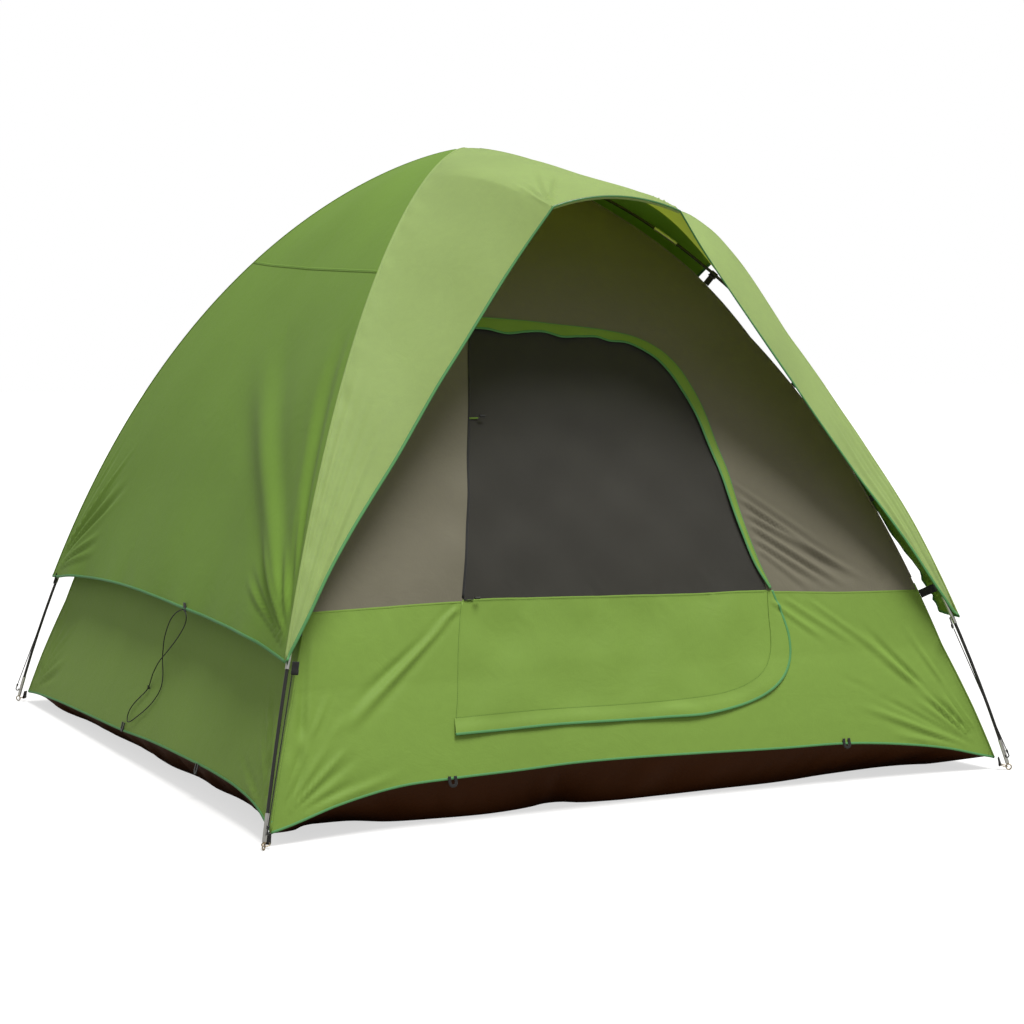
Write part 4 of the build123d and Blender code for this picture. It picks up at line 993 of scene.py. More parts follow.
NSK = 110
tf, gfp = side_pairs(bf, hem_f, gf, NSK)
tr_, grp = side_pairs(br_, hem_r, gr, NSK)
tb, gbp = side_pairs(bb_, hem_b[::-1], gb, NSK)
tl, glp = side_pairs(bl_, hem_l[::-1], gl, NSK)
top_loop = np.vstack([tf[:-1], tr_[:-1], tb[:-1], tl[:-1]])
gnd_loop = np.vstack([gfp[:-1], grp[:-1], gbp[:-1], glp[:-1]])
NL = len(top_loop)
LV = 12
grid = np.zeros((LV, NL, 3))
idx = np.arange(NL)
ang = 2 * math.pi * idx / NL
g_ = np.random.RandomState(5)
ripple = sum(np.cos(k * ang + g_.uniform(0, 6.28)) * g_.uniform(0.3, 1.0) for k in range(18, 60)) / 4.0
ripple2 = sum(np.cos(k * ang + g_.uniform(0, 6.28)) * g_.uniform(0.3, 1.0) for k in range(40, 130)) / 6.0
for j in range(LV):
    v = j / (LV - 1)
    p = top_loop.copy()
    g3 = np.column_stack([gnd_loop, np.full(NL, 0.0012)])
    w = v
    q = p * (1 - w) + g3 * w
    # the skirt hangs near vertical under the seam, then rolls out on the ground
    belly = math.sin(math.pi * v) * 0.35
    q[:, 2] = p[:, 2] * (1 - v) ** 1.12 + 0.0012 * v
    outw = np.stack([np.sign(p[:, 0]) * (np.abs(p[:, 0]) / UX > np.abs(p[:, 1]) / UY), np.sign(p[:, 1]) * (np.abs(p[:, 0]) / UX <= np.abs(p[:, 1]) / UY)], axis=1)
    q[:, :2] += outw * (math.sin(math.pi * v) * (0.0055 * ripple[:, None] + 0.0030 * ripple2[:, None]))
    q[:, 2] = np.maximum(q[:, 2], 0.0012)
    grid[j] = q
verts = grid.reshape(-1, 3).tolist()
faces = []
for j in range(LV - 1):
    for k in range(NL):
        m = (k + 1) % NL
        faces.append((j * NL + k, (j + 1) * NL + k, (j + 1) * NL + m, j * NL + m))
# the ground sheet: rings shrinking to the middle
base = len(verts) - NL
RN = 10
prev = base
g3 = grid[-1]
for j in range(1, RN):
    f = 1 - j / RN
    ring = g3 * np.array([f, f, 1.0]) + np.array([0, 0, 0.0016])
    ring[:, 2] = 0.0014 + 0.0012 * (0.5 + 0.5 * field(ring[:, 0], ring[:, 1], 0.35, 9))
    b = len(verts)
    verts += ring.tolist()
    for k in range(NL):
        m = (k + 1) % NL
        faces.append((prev + k, b + k, b + m, prev + m))
    prev = b
verts.append([0, 0, 0.002])
for k in range(NL):
    faces.append((prev + k, len(verts) - 1, prev + (k + 1) % NL))
V3 = np.array(verts)
floor_tub = mesh_object("floor_tub_cloth", verts, faces, M_BROWN, np.stack([V3[:, 0] + V3[:, 1] * 0.0, V3[:, 1] + V3[:, 2]], axis=1))
fix_normals(floor_tub)
md = floor_tub.modifiers.new("cloth_thickness", "SOLIDIFY")
md.thickness, md.offset = 0.0010, -1.0
me = floor_tub.data
area_tub = sum(p.area for p in me.polygons)
floor_tub["_flat"] = [2.62, 2.86, min(area_tub * 1.01, 2.62 * 2.86)]
place(floor_tub, "root", ["floor_tub"])

# hem binding round the body, folded over the seam
for tag, wall, hem in (("front", bf, hem_f), ("right", br_, hem_r), ("back", bb_, hem_b), ("left", bl_, hem_l)):
    h = resample(hem, 0.012)
    P = wall.pos(h[:, 0], h[:, 1], 0.0004)
    o = sweep(f"hem_binding_{tag}", P, wall.normal(h[:, 1]), 0.0066, 0.0036, M_TEAL, sect=10)
    place(o, "root", ["floor_seam_binding"] if tag == "front" else ())

# corner seams of the inner tent, green below the colour seam and grey above
seam_bits = []
for dx, dy, tag in ((-1, -1, "fl"), (1, -1, "fr"), (-1, 1, "bl"), (1, 1, "br")):
    m = (EZ > 0.036) & (EZ < 1.78)
    P = np.stack([ER[m] * UX * dx, ER[m] * UY * dy, EZ[m]], axis=1)
    P = resample(P, 0.02)
    N = np.tile([UX * dx, UY * dy, 0.25], (len(P), 1))
    low = P[:, 2] < 0.575
    for part, sel, mt in (("green", low, M_GREEN), ("grey", ~low, M_GREY)):
        Q = P[sel]
        o = sweep(f"corner_seam_{tag}_{part}", Q, N[:len(Q)], 0.0065, 0.0050, mt, sect=8, square=0.8)
        place(o, "root")
        seam_bits.append(o)

# ---------------------------------------------------------------- door leaf
door_in = inset(DOOR, 0.0012)
dlow, dhigh = split_door(door_in, 0.004)
leaf_low = loop_poly([on_chart(bf, dlow), on_chart(bf, seam_between(dlow[-1][0], dlow[0][0], 0.004))], STEP)
leaf_win = loop_poly([on_chart(bf, dhigh), on_chart(bf, seam_between(dhigh[-1][0], dhigh[0][0], 0.004))], STEP)
door_low = panel("door_green_panel", bf, leaf_low, M_GREEN, STEP)
door_win = panel("door_netting_window", bf, leaf_win, M_WINDOW, STEP, thick=0.0008)

HINGE_AX = np.array([0.23914, 0.41765, 0.87657])


def hang_on_hinge(o):
    """Bakes the piece's transform into its mesh."""
    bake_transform(o)


for o, sl, nd in ((door_low, "wall_green", "door_lower_panel"), (door_win, "window_mesh", "door_mesh_window")):
    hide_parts(nd)
    hang_on_hinge(o)


def chart_line(P, step=0.012):
    """(x, z) points to a smooth line on the front wall's chart."""
    Q = on_chart(bf, catmull(np.asarray(P, float), 220))
    return resample(Q, step)


def band_strip(name, outer, inner, offs, mat, thick=0.0011, nv=7):
    """A flap on the front wall between two lines; offs gives its stand-off across the width."""
    n = 190
    A, B = catmull(outer, n), catmull(inner, n)
    verts, uv, faces = [], [], []
    for j in range(nv):
        v = j / (nv - 1)
        Q = on_chart(bf, A * (1 - v) + B * v)
        off = np.array([offs(k / (n - 1), v) for k in range(n)])
        P = bf.pos(Q[:, 0], Q[:, 1], off)
        verts += P.tolist()
        uv += Q.tolist()
    for j in range(nv - 1):
        for k in range(n - 1):
            faces.append((j * n + k, j * n + k + 1, (j + 1) * n + k + 1, (j + 1) * n + k))
    o = mesh_object(name, verts, faces, mat, uv)
    me = o.data
    avg = np.mean([p.normal[1] for p in me.polygons])
    if avg > 0:
        me.flip_normals()
    md = o.modifiers.new("cloth_thickness", "SOLIDIFY")
    md.thickness, md.offset = thick, 0.0
    ar = sum(p.area for p in me.polygons)
    ln = float(np.linalg.norm(np.diff(A, axis=0), axis=1).sum())
    o["_flat"] = [ln, max(ar / ln * 1.25, 0.012), ar]
    return o


UP_OUT = [(-.311, 1.374), (-.275, 1.373), (-.141, 1.367), (-.040, 1.358), (.052, 1.349), (.140, 1.338), (.217, 1.323),
          (.275, 1.301), (.322, 1.268), (.352, 1.225), (.372, 1.170), (.390, 1.100), (.404, 1.020), (.414, .940),
          (.425, .840), (.440, .740), (.462, .640), (.484, .572)]
UP_IN = [(-.313, 1.341), (-.262, 1.338), (-.205, 1.329), (-.135, 1.332), (-.070, 1.333), (-.020, 1.317), (.045, 1.320),
         (.100, 1.319), (.135, 1.308), (.196, 1.302), (.245, 1.278), (.285, 1.250), (.315, 1.210), (.338, 1.158),
         (.358, 1.092), (.375, 1.015), (.388, .935), (.402, .838), (.420, .738), (.446, .638), (.478, .570)]


def up_off(f, v):
    wob = 0.0030 * math.sin(f * 60.0) * math.exp(-((f - 0.22) / 0.16) ** 2) + 0.0015 * math.sin(f * 31 + 1.0)
    return 0.0034 + 0.0035 * v + wob * v


flap_up = band_strip("door_upper_flap", UP_OUT, UP_IN, up_off, M_GREEN)
LO_IN = [(-.607, .279), (-.450, .281), (-.300, .282), (-.140, .279), (.047, .278), (.160, .281), (.240, .286),
         (.300, .296), (.348, .310), (.388, .330), (.418, .356), (.440, .392), (.452, .440), (.458, .492), (.470, .566)]
LO_OUT = [(-.614, .236), (-.452, .238), (-.300, .240), (-.140, .237), (.047, .234), (.170, .233), (.262, .243),
          (.335, .257), (.394, .276), (.440, .300), (.474, .328), (.500, .366), (.512, .420), (.507, .484), (.486, .566)]


def lo_off(f, v):
    return (0.0009 + 0.0046 * ss(v, 0, 0.8) * (1 - 0.6 * ss(f, 0.6, 0.95)) + 0.0044 * ss(v, 0, 0.6) * math.exp(-((f - 0.540) / 0.045) ** 2)
            + 0.0030 * v * math.exp(-(f / 0.05) ** 2) + 0.0010 * v * math.sin(f * 43))


flap_lo = band_strip("door_lower_flap", LO_IN, LO_OUT, lo_off, M_GREEN)
for o, nd in ((flap_up, "door_flap_upper"), (flap_lo, "door_flap_lower")):
    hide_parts(nd)


def edge_binding(name, line, offs, w, t, mat, swap=False):
    A = catmull(line, 260)
    Q = on_chart(bf, A)
    off = np.array([offs(k / 259.0, 1.0) for k in range(260)])
    P = bf.pos(Q[:, 0], Q[:, 1], off)
    return sweep(name, P, bf.normal(Q[:, 1]), w, t, mat, sect=10)


bind_up = edge_binding("upper_flap_binding", UP_IN, up_off, 0.0072, 0.0034, M_TEAL)
bind_up_o = edge_binding("upper_flap_outer_seam", UP_OUT, lambda f, v: 0.0030, 0.0030, 0.0022, M_TEAL)
bind_lo = edge_binding("lower_flap_binding", LO_OUT, lo_off, 0.0075, 0.0036, M_TEAL)
A = catmull(LO_IN, 200)
Q = on_chart(bf, A)
st_lo = stitches("lower_flap_stitches", bf.pos(Q[:, 0], Q[:, 1], 0.0018), bf.normal(Q[:, 1]), M_THREAD_G)
A = catmull(UP_OUT, 200) * 0.86 + catmull(UP_IN, 200) * 0.14
Q = on_chart(bf, A)
st_up = stitches("upper_flap_stitches", bf.pos(Q[:, 0], Q[:, 1], 0.0046), bf.normal(Q[:, 1]), M_THREAD_G)
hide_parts("door_flap_binding")
for o in (flap_up, flap_lo, bind_up, bind_up_o, bind_lo, st_lo, st_up):
    hang_on_hinge(o)

# hinge seam: a narrow felled tape over the joint, dark beside the netting
hs = [(-.311, 1.352), (-.334, 1.302), (-.370, 1.189), (-.401, 1.079), (-.433, .964), (-.463, .839), (-.494, .719), (-.526, .594)]
Q = chart_line(hs)
hinge_dark = sweep("hinge_seam_upper", bf.pos(Q[:, 0] + 0.003, Q[:, 1], 0.0006), bf.normal(Q[:, 1]), 0.0075, 0.0020, M_WEB, sect=8)
place(hinge_dark, "root")
hs2 = [(-.528, .582), (-.556, .480), (-.588, .325), (-.606, .262)]
Q = chart_line(hs2)
hinge_green = sweep("hinge_seam_lower", bf.pos(Q[:, 0] + 0.001, Q[:, 1], 0.0002), bf.normal(Q[:, 1]), 0.0045, 0.0007, M_GREEN, sect=8)
place(hinge_green, "root")
st_h = stitches("hinge_stitches", bf.pos(Q[:, 0] - 0.0015, Q[:, 1], 0.0010), bf.normal(Q[:, 1]), M_THREAD_G)
place(st_h, "root")
# colour seam: flat fold on the walls and the leaf, with a stitch row on the leaf
Q = resample(on_chart(bf, seam_between(-rl + .004, hl[0] - .004)), 0.014)
seam_a = sweep("front_seam_left", bf.pos(Q[:, 0], Q[:, 1] - 0.0028, 0.0001), bf.normal(Q[:, 1]), 0.0055, 0.0008, M_GREEN, sect=8)
Q2 = resample(on_chart(bf, seam_between(hr[0] + .004, rr_ - .004)), 0.014)
seam_b = sweep("front_seam_right", bf.pos(Q2[:, 0], Q2[:, 1] - 0.0028, 0.0001), bf.normal(Q2[:, 1]), 0.0055, 0.0008, M_GREEN, sect=8)
for o in (seam_a, seam_b):
    place(o, "root")
Q = resample(on_chart(bf, seam_between(dlow[0][0] + .003, dlow[-1][0] - .003, 0.004)), 0.014)
seam_c = sweep("door_seam", bf.pos(Q[:, 0], Q[:, 1] - 0.0028, 0.0001), bf.normal(Q[:, 1]), 0.0055, 0.0008, M_GREEN, sect=8)
st_c = stitches("door_seam_stitches", bf.pos(Q[:, 0], Q[:, 1] - 0.006, 0.0010), bf.normal(Q[:, 1]), M_THREAD_G)
for o in (seam_c, st_c):
    hang_on_hinge(o)

# ---------------------------------------------------------------- fly side and back panels
FLY_STEP = 0.012


def full_fly(name, wall, mat, node_name):
    h = hem_line(wall, FLY_SIDE_HEM)
    p = loop_poly([h, ridge_line(wall, float(wall.z_of(h[-1][1])), float(wall.z[-1]), 1, 160),
                   ridge_line(wall, float(wall.z[-1]), float(wall.z_of(h[0][1])), -1, 160)], FLY_STEP)
    o = panel(name, wall, p, mat, FLY_STEP)
    place(o, "fly", [node_name])
    return o, h


fly_left, fhem_l = full_fly("fly_left_cloth", fl_, M_FLY, "fly_left_panel")
fly_back, fhem_b = full_fly("fly_back_cloth", fbk, M_FLY, "fly_back_panel")

# right panel with its big cut-out
CUT_Z = np.array([.400, .445, .485, .553, .650, .747, .862, 1.043, 1.226, 1.403, 1.460, 1.510, 1.535])
CUT_W = np.array([.040, .058, .079, .103, .128, .146, .152, .158, .138, .079, .060, .044, .030])


def fly_r(z):
    return float(np.interp(z, FZ, FR))


def hem_at(u):
    return float(np.interp(u, FLY_SIDE_HEM[:, 0], FLY_SIDE_HEM[:, 1]))


leg = []
for z in np.linspace(0.455, 1.535, 60):
    y = -(fly_r(z) * UY - float(np.interp(z, CUT_Z, CUT_W)))
    if z > hem_at(y) + 0.002:
        leg.append((y, z))
y0 = leg[0][0]
leg = np.vstack([[(y0, hem_at(y0))], leg])
arc = catmull([leg[-1], (-.480, 1.508), (-.360, 1.476), (-.180, 1.453), (0, 1.446), (.180, 1.453), (.360, 1.476), (.480, 1.508),
               (-leg[-1][0], leg[-1][1])], 90)
inner = np.vstack([leg, arc[1:-1], leg[::-1] * np.array([-1, 1])])
inner_c = on_chart(fr_, inner)
h = hem_line(fr_, FLY_SIDE_HEM)
h_front = h[h[:, 0] < y0]
h_back = h[h[:, 0] > -y0]
leg_c = on_chart(fr_, leg)
arc_c = on_chart(fr_, arc)
z_join = float(leg[-1][1])
top_poly = loop_poly([arc_c, ridge_line(fr_, z_join, float(fr_.z[-1]), 1, 160), ridge_line(fr_, float(fr_.z[-1]), z_join, -1, 160)], FLY_STEP)
front_poly = loop_poly([np.vstack([h_front, leg_c[:1]]), leg_c, ridge_line(fr_, z_join, float(fr_.z_of(h[0][1])), -1, 120)], FLY_STEP)
back_poly = loop_poly([leg_c[::-1] * np.array([-1, 1]), h_back, ridge_line(fr_, float(fr_.z_of(h[-1][1])), z_join, 1, 120)], FLY_STEP)
fly_right = panel("fly_right_top_cloth", fr_, top_poly, M_FLY, FLY_STEP)
fly_right_f = panel("fly_right_front_strip", fr_, front_poly, M_FLY, FLY_STEP)
fly_right_b = panel("fly_right_back_strip", fr_, back_poly, M_FLY, FLY_STEP)
place(fly_right, "fly", ["fly_right_panel"])
place(fly_right_f, "fly")
place(fly_right_b, "fly")


def wall_tape(name, wall, chart, w, t, mat, body, off=0.0003, rep=(), step=0.014, sect=10):
    Q = resample(chart, step)
    o = sweep(name, wall.pos(Q[:, 0], Q[:, 1], off), wall.normal(Q[:, 1]), w, t, mat, sect=sect)
    place(o, body, rep)
    return o


fly_bits = [
    wall_tape("fly_hem_left", fl_, fhem_l, 0.0085, 0.0040, M_TEAL, "fly", rep=["fly_hem_binding"]),
    wall_tape("fly_hem_back", fbk, fhem_b, 0.0085, 0.0040, M_TEAL, "fly"),
    wall_tape("fly_cutout_binding", fr_, inner_c, 0.0085, 0.0040, M_TEAL, "fly"),
    wall_tape("fly_hem_right_front", fr_, np.vstack([h_front, inner_c[:1]]), 0.0085, 0.0040, M_TEAL, "fly"),
    wall_tape("fly_hem_right_back", fr_, np.vstack([inner_c[-1:], h_back]), 0.0085, 0.0040, M_TEAL, "fly"),
]
# joining seam across the upper part of each full panel
for tag, wall, pts in (("left", fl_, [(.760, 1.590), (.541, 1.573), (-.119, 1.535), (-.665, 1.501), (-.790, 1.492)]),
                       ("back", fbk, [(-.690, 1.545), (-.2, 1.54), (.3, 1.54), (.690, 1.545)])):
    c = catmull(pts, 120)
    q = on_chart(wall, c)
    q = q[np.abs(q[:, 0]) < wall.ridge(q[:, 1]) - 0.004]
    fly_bits.append(wall_tape(f"fly_{tag}_cross_seam", wall, q, 0.010, 0.0016, M_FLY, "fly", off=0.0005, sect=8))
    QQ = resample(q, 0.014)
    so = stitches(f"fly_{tag}_cross_stitches", wall.pos(QQ[:, 0], QQ[:, 1], 0.0016), wall.normal(QQ[:, 1]), M_THREAD_G)
    place(so, "fly")
    fly_bits.append(so)

# ---------------------------------------------------------------- visor
EDGE = np.array([(.467, 1.089, -1.205), (.480, 1.078, -1.192), (.580, 1.012, -1.168), (.680, .949, -1.142),
                 (.780, .878, -1.117), (.880, .801, -1.095), (.980, .725, -1.080), (1.080, .653, -1.061),
                 (1.180, .582, -1.045), (1.280, .507, -1.033), (1.380, .433, -1.020), (1.480, .359, -1.008),
                 (1.580, .283, -1.003), (1.680, .208, -1.010)])
EA = np.stack([-EDGE[:, 1], EDGE[:, 2], EDGE[:, 0]], axis=1)
EA = np.vstack([EA[:1], catmull(EA[1:], 300)])
EL_ = np.concatenate([[0], np.cumsum(np.linalg.norm(np.diff(EA, axis=0), axis=1))])
EF = EL_ / EL_[-1]
BX, BY, BZ, BRISE = 0.208, -1.010, 1.680, 0.036
i0, i1 = int(np.argmin(abs(FZ - 0.467))), int(np.argmin(abs(FZ - 1.812)))
HALF_LEN = float(PS[-1])


def ridge_pt(s):
    r = float(np.interp(s, PS, FR))
    return np.array([-r * UX, -r * UY, float(np.interp(s, PS, FZ))])


nu, nb, NV = ((190, 56, 44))
cols = []
for f in np.linspace(0, 1, nu):
    s = PS[i0] + (PS[i1] - PS[i0]) * f
    cols.append((ridge_pt(s), np.array([np.interp(f, EF, EA[:, k]) for k in range(3)]), 0.030 + 0.015 * f ** 3, s,
                 0.021 * float(ss(f, 0.55, 1.0))))
for g in np.linspace(0, 1, nb)[1:]:
    s = PS[i1] + (HALF_LEN - PS[i1]) * g
    x = -BX * (1 - g)
    z = BZ + BRISE * (1 - (x / BX) ** 2)
    cols.append((ridge_pt(s), np.array([x, BY, z]), 0.013 + 0.032 * math.exp(-(g / 0.35) ** 2), s,
                 0.021 * math.exp(-(g / 0.55) ** 2)))
nh_ = len(cols)


def shoulder_at(s):
    """How far the right-hand ridge of the fly stands off, as a vector."""
    b, nr, nz = (float(np.interp(s, PS, q)) for q in (SHOULDER, TZ, TR))
    return np.array([b * nr * UX, -b * nr * UY, -b * nz])


cols = ([(a, b, k) for a, b, k, _, _ in cols]
        + [(a * np.array([-1, 1, 1]) + shoulder_at(s), b * np.array([-1, 1, 1]), k - q) for a, b, k, s, q in cols[-2::-1]])
G = np.zeros((len(cols), NV, 3))
vv = np.linspace(0, 1, NV)
for i, (a, b, belly) in enumerate(cols):
    d = b - a
    ln = max(np.linalg.norm(d), 1e-6)
    o = (a + b) / 2 - np.array([0, 0, 0.5])
    o = o - d * (o @ d) / ln ** 2
    o /= np.linalg.norm(o)
    G[i] = a + d * vv[:, None] + o * (belly * ln * np.sin(math.pi * vv))[:, None]
# arc-length charts along and across, for folds and the weave
LU = np.concatenate([[0], np.cumsum(np.linalg.norm(np.diff(G[:, NV // 2], axis=0), axis=1))])
LUc = LU - LU[-1] / 2
WID = np.linalg.norm(G[:, -1] - G[:, 0], axis=1)
U2 = np.repeat(LUc[:, None], NV, axis=1)
V2 = vv[None, :] * WID[:, None]


def grid_normals(G):
    du, dv = np.gradient(G, axis=0), np.gradient(G, axis=1)
    n = np.cross(du, dv)
    n /= np.maximum(np.linalg.norm(n, axis=2, keepdims=True), 1e-12)
    mid = n[n.shape[0] // 2, n.shape[1] // 2]
    return n if mid[2] > 0 else -n


VN = grid_normals(G)
kink = LUc[nh_ - nb] if False else float(LUc[nu - 1])
wid_k = float(WID[nu - 1])
D = 0.0030 * field(U2, V2, 0.40, 101)
for sg in (-1, 1):
    ku = sg * abs(kink)
    for k, a in enumerate((150, 168, 186, 204, 222, 240, 262)):
        aa = math.radians(a if sg > 0 else 180 - a)
        p = np.array([ku, wid_k - 0.012])
        dirv = np.array([math.cos(aa), math.sin(aa)])
        if dirv[1] > 0:
            dirv[1] *= -1
        L = (0.34, 0.26, 0.30, 0.22, 0.28, 0.20, 0.24)[k]
        D = D + crease(U2, V2, p, p + dirv * L, (0.0035, -0.0022, 0.0040, 0.0026, -0.0024, 0.0030, 0.0024)[k], 0.017, 0.7, 0.10)
    # long pull lines down the panel towards its foot
    end = sg * abs(LUc[0])
    for off_v, amp in ((0.03, 0.0030), (0.075, -0.0022), (0.12, 0.0022)):
        D = D + crease(U2, V2, (end * 0.985, off_v * 0.25), (end * 0.55, off_v * 1.7), amp, 0.016, 0.5, 0.08)
edge_fade = ss(V2, 0.0, 0.05) * ss(WID[:, None] - V2, -0.002, 0.03)
D = D * edge_fade
D = D + 0.0016 * np.exp(-V2 / 0.05) * field(U2, V2 * 0.3, 0.07, 102) * ss(V2, 0.0, 0.012)
G2 = G + VN * D[:, :, None]
n_c = len(cols)
verts = G2.reshape(-1, 3)
faces = []
for i in range(n_c - 1):
    for j in range(NV - 1):
        faces.append((i * NV + j, (i + 1) * NV + j, (i + 1) * NV + j + 1, i * NV + j + 1))
# the visor sheet carries painted top light and sheen in its cloth colour
visor = mesh_object("visor_cloth_sheet", verts, faces, M_VISOR_PAINTED_LIGHT, np.stack([U2, V2], axis=2).reshape(-1, 2))
pz = np.mean([p.normal[2] for p in visor.data.polygons])
if pz < 0:
    visor.data.flip_normals()
md = visor.modifiers.new("cloth_thickness", "SOLIDIFY")
md.thickness, md.offset = 0.0011, -1.0
ar = sum(p.area for p in visor.data.polygons)
visor["_flat"] = [float(LU[-1]), float(WID.max()), min(max(ar, 0.301 * LU[-1] * WID.max()), LU[-1] * WID.max())]
place(visor, "fly", ["fly_visor"])
VN2 = grid_normals(G2)
edge_line = G2[:, -1]
edge_n = VN2[:, -1]
visor_bind = sweep("visor_front_binding", edge_line, edge_n, 0.0085, 0.0042, M_TEAL, sect=10)
place(visor_bind, "fly", ["visor_edge_binding"])
# brow sleeve: a sewn tunnel with the rod inside
bs_ = range(nu - 1, n_c - nu + 1)
bp = np.array([(-BX * math.cos(math.pi * k / 40), BY, BZ + BRISE * (1 - math.cos(math.pi * k / 40) ** 2)) for k in range(41)])
# the brow tunnel uses the visor cloth, with its painted top light and sheen
sleeve = sweep("brow_tunnel", bp + np.array([0, 0.006, -0.002]), np.tile([0, -0.4, 0.9], (41, 1)), 0.013, 0.0112, M_VISOR_PAINTED_LIGHT, sect=14, square=0.9)
place(sleeve, "fly", ["brow_sleeve"])
# ridge seams of the fly: felled tape along each ridge
ridge_bits = []
for dx, dy, tag in ((-1, -1, "fl"), (1, -1, "fr"), (-1, 1, "bl"), (1, 1, "br")):
    m = (FZ > 0.467) & (PS < HALF_LEN - 0.04)
    P = np.stack([FR[m] * UX * dx, FR[m] * UY * dy, FZ[m]], axis=1)
    if tag == "fr":
        P = P + np.array([shoulder_at(q) for q in PS[m]])
    P = resample(P, 0.02)
    sgn = np.array([dx * UX, dy * UY, 0.0])
    nrm = []
    for p in P:
        k = int(np.argmin(abs(FZ - p[2]) + abs(FR - math.hypot(p[0], p[1]))))
        nrm.append(sgn * TZ[k] + np.array([0, 0, -TR[k]]))
    nrm = np.array(nrm)
    side = np.cross(curve_tangents(P), nrm)
    shift = side * (0.004 * (1 if dx * dy > 0 else -1))
    # front ridge tapes use the visor cloth, with its painted top light and sheen
    o = sweep(f"fly_ridge_seam_{tag}", P, nrm, 0.0075, 0.0030, M_VISOR_PAINTED_LIGHT if dy < 0 else M_FLY, sect=8, off=-0.0004)
    place(o, "fly")
    ridge_bits.append(o)

# ---------------------------------------------------------------- small cloth parts: tabs, loops, toggles, straps, hooks
def ribbon(name, P, N, w, t, mat, body, rep=(), square=0.35):
    """A short piece of tape through given points, each with its own facing."""
    P, N = np.asarray(P, float), np.asarray(N, float)
    L = np.concatenate([[0], np.cumsum(np.linalg.norm(np.diff(P, axis=0), axis=1))])
    n = max(10, int(L[-1] / 0.0025))
    q = np.linspace(0, L[-1], n)
    NN = np.stack([np.interp(q, L, N[:, k]) for k in range(3)], axis=1)
    o = sweep(name, catmull(P, n), NN, w, t, mat, sect=12, square=square)
    place(o, body, rep)
    return o


def unit(v):
    v = np.array(v, float)
    return v / np.linalg.norm(v)


def pole_pt(s):
    return float(np.interp(s, PS, PR)), float(np.interp(s, PS, PZ))


Z3 = np.array([0.0, 0.0, 1.0])
for dx, dy, c in ((-1, -1, "fl"), (1, -1, "fr"), (-1, 1, "bl"), (1, 1, "br")):
    first = c == "fl"
    out = np.array([UX * dx, UY * dy, 0.0])
    (r0, z0), (r1, z1) = pole_pt(0.024), pole_pt(0.084)
    up = unit([(r1 - r0) * UX * dx, (r1 - r0) * UY * dy, z1 - z0])
    eye = np.array([r0 * UX * dx, r0 * UY * dy, 0.0099]) - np.array([up[0], up[1], 0.0]) * 0.014
    w0 = eye - out * 0.015 + Z3 * 0.003 - out * 0.011
    hx = np.array([dx * 1.172 * 1.004, dy * 1.289 * 1.004, 0.038])
    d = unit(hx - w0)
    nn = unit(Z3 - d * d[2])
    # floor corner's webbing: down to the ring, round its wire and back under itself
    P = [hx, hx * 0.5 + w0 * 0.5 + nn * 0.0014, w0 + d * 0.007 + nn * 0.0020, w0 + nn * 0.0024, w0 - d * 0.0024, w0 - nn * 0.0024,
         w0 + d * 0.007 - nn * 0.0016, w0 + d * 0.024 - nn * 0.0008]
    N = [nn, nn, nn, nn, -d, -nn, -nn, -nn]
    ribbon(f"corner_strap_{c}", P, N, 0.0170, 0.0015, M_WEB, "root", ["corner_webbing"] if first else ())
    # tabs that carry the pole clips
    for ci, zc in enumerate((0.555, 0.850, 1.205, 1.515)):
        k = int(np.argmin(abs(PZ - zc)))
        o3 = np.array([TZ[k] * UX * dx, TZ[k] * UY * dy, -TR[k]])
        t3 = np.array([TR[k] * UX * dx, TR[k] * UY * dy, TZ[k]])
        c3 = np.array([PR[k] * UX * dx, PR[k] * UY * dy, PZ[k]])
        la = np.cross(o3, t3)
        g = float(GAP[k])
        P = [c3 - o3 * 0.0118, c3 - o3 * (0.0118 + (g - 0.0153) * 0.5) + la * 0.0006, c3 - o3 * (g - 0.0030)]
        ribbon(f"clip_tab_{c}_{ci}", P, [la, la, la], 0.020 if ci else 0.026, 0.0017, M_WEB, "root",
               ["clip_webbing"] if first and ci == 0 else ())
    # the fly's corner tab, folded over the elastic at its lower end
    la = unit(np.array([-UY * dy, UX * dx, 0.0]))
    la = la if la[0] * dx > 0 else -la
    zt, th = (0.428, 0.036) if dy < 0 else (0.440, 0.040)
    if dy < 0:
        la = -la
    k = int(np.argmin(abs(PZ - zt)))
    top = np.array([PR[k] * UX * dx, PR[k] * UY * dy, zt]) - out * 0.009 + la * 0.0125
    ax = unit(Z3 - out * 0.33)
    m0 = top + la * 0.0070
    P = [m0 + ax * th, m0 + ax * th * 0.5 + out * 0.0006, m0 + ax * 0.003 + out * 0.0008, m0 - out * 0.0002, m0 + ax * 0.003 - out * 0.0016,
         m0 + ax * 0.014 - out * 0.0016]
    N = [out, out, out, -ax, -out, -out]
    ribbon(f"fly_tab_{c}", P, N, 0.0200, 0.0013, M_WEB, "fly", ["fly_corner_tabs"] if first else ())


def old_hem(u, half, mid, corner):
    q = min(abs(u) / half, 1.15)
    return corner + (mid - corner) * (1 - q ** 4)


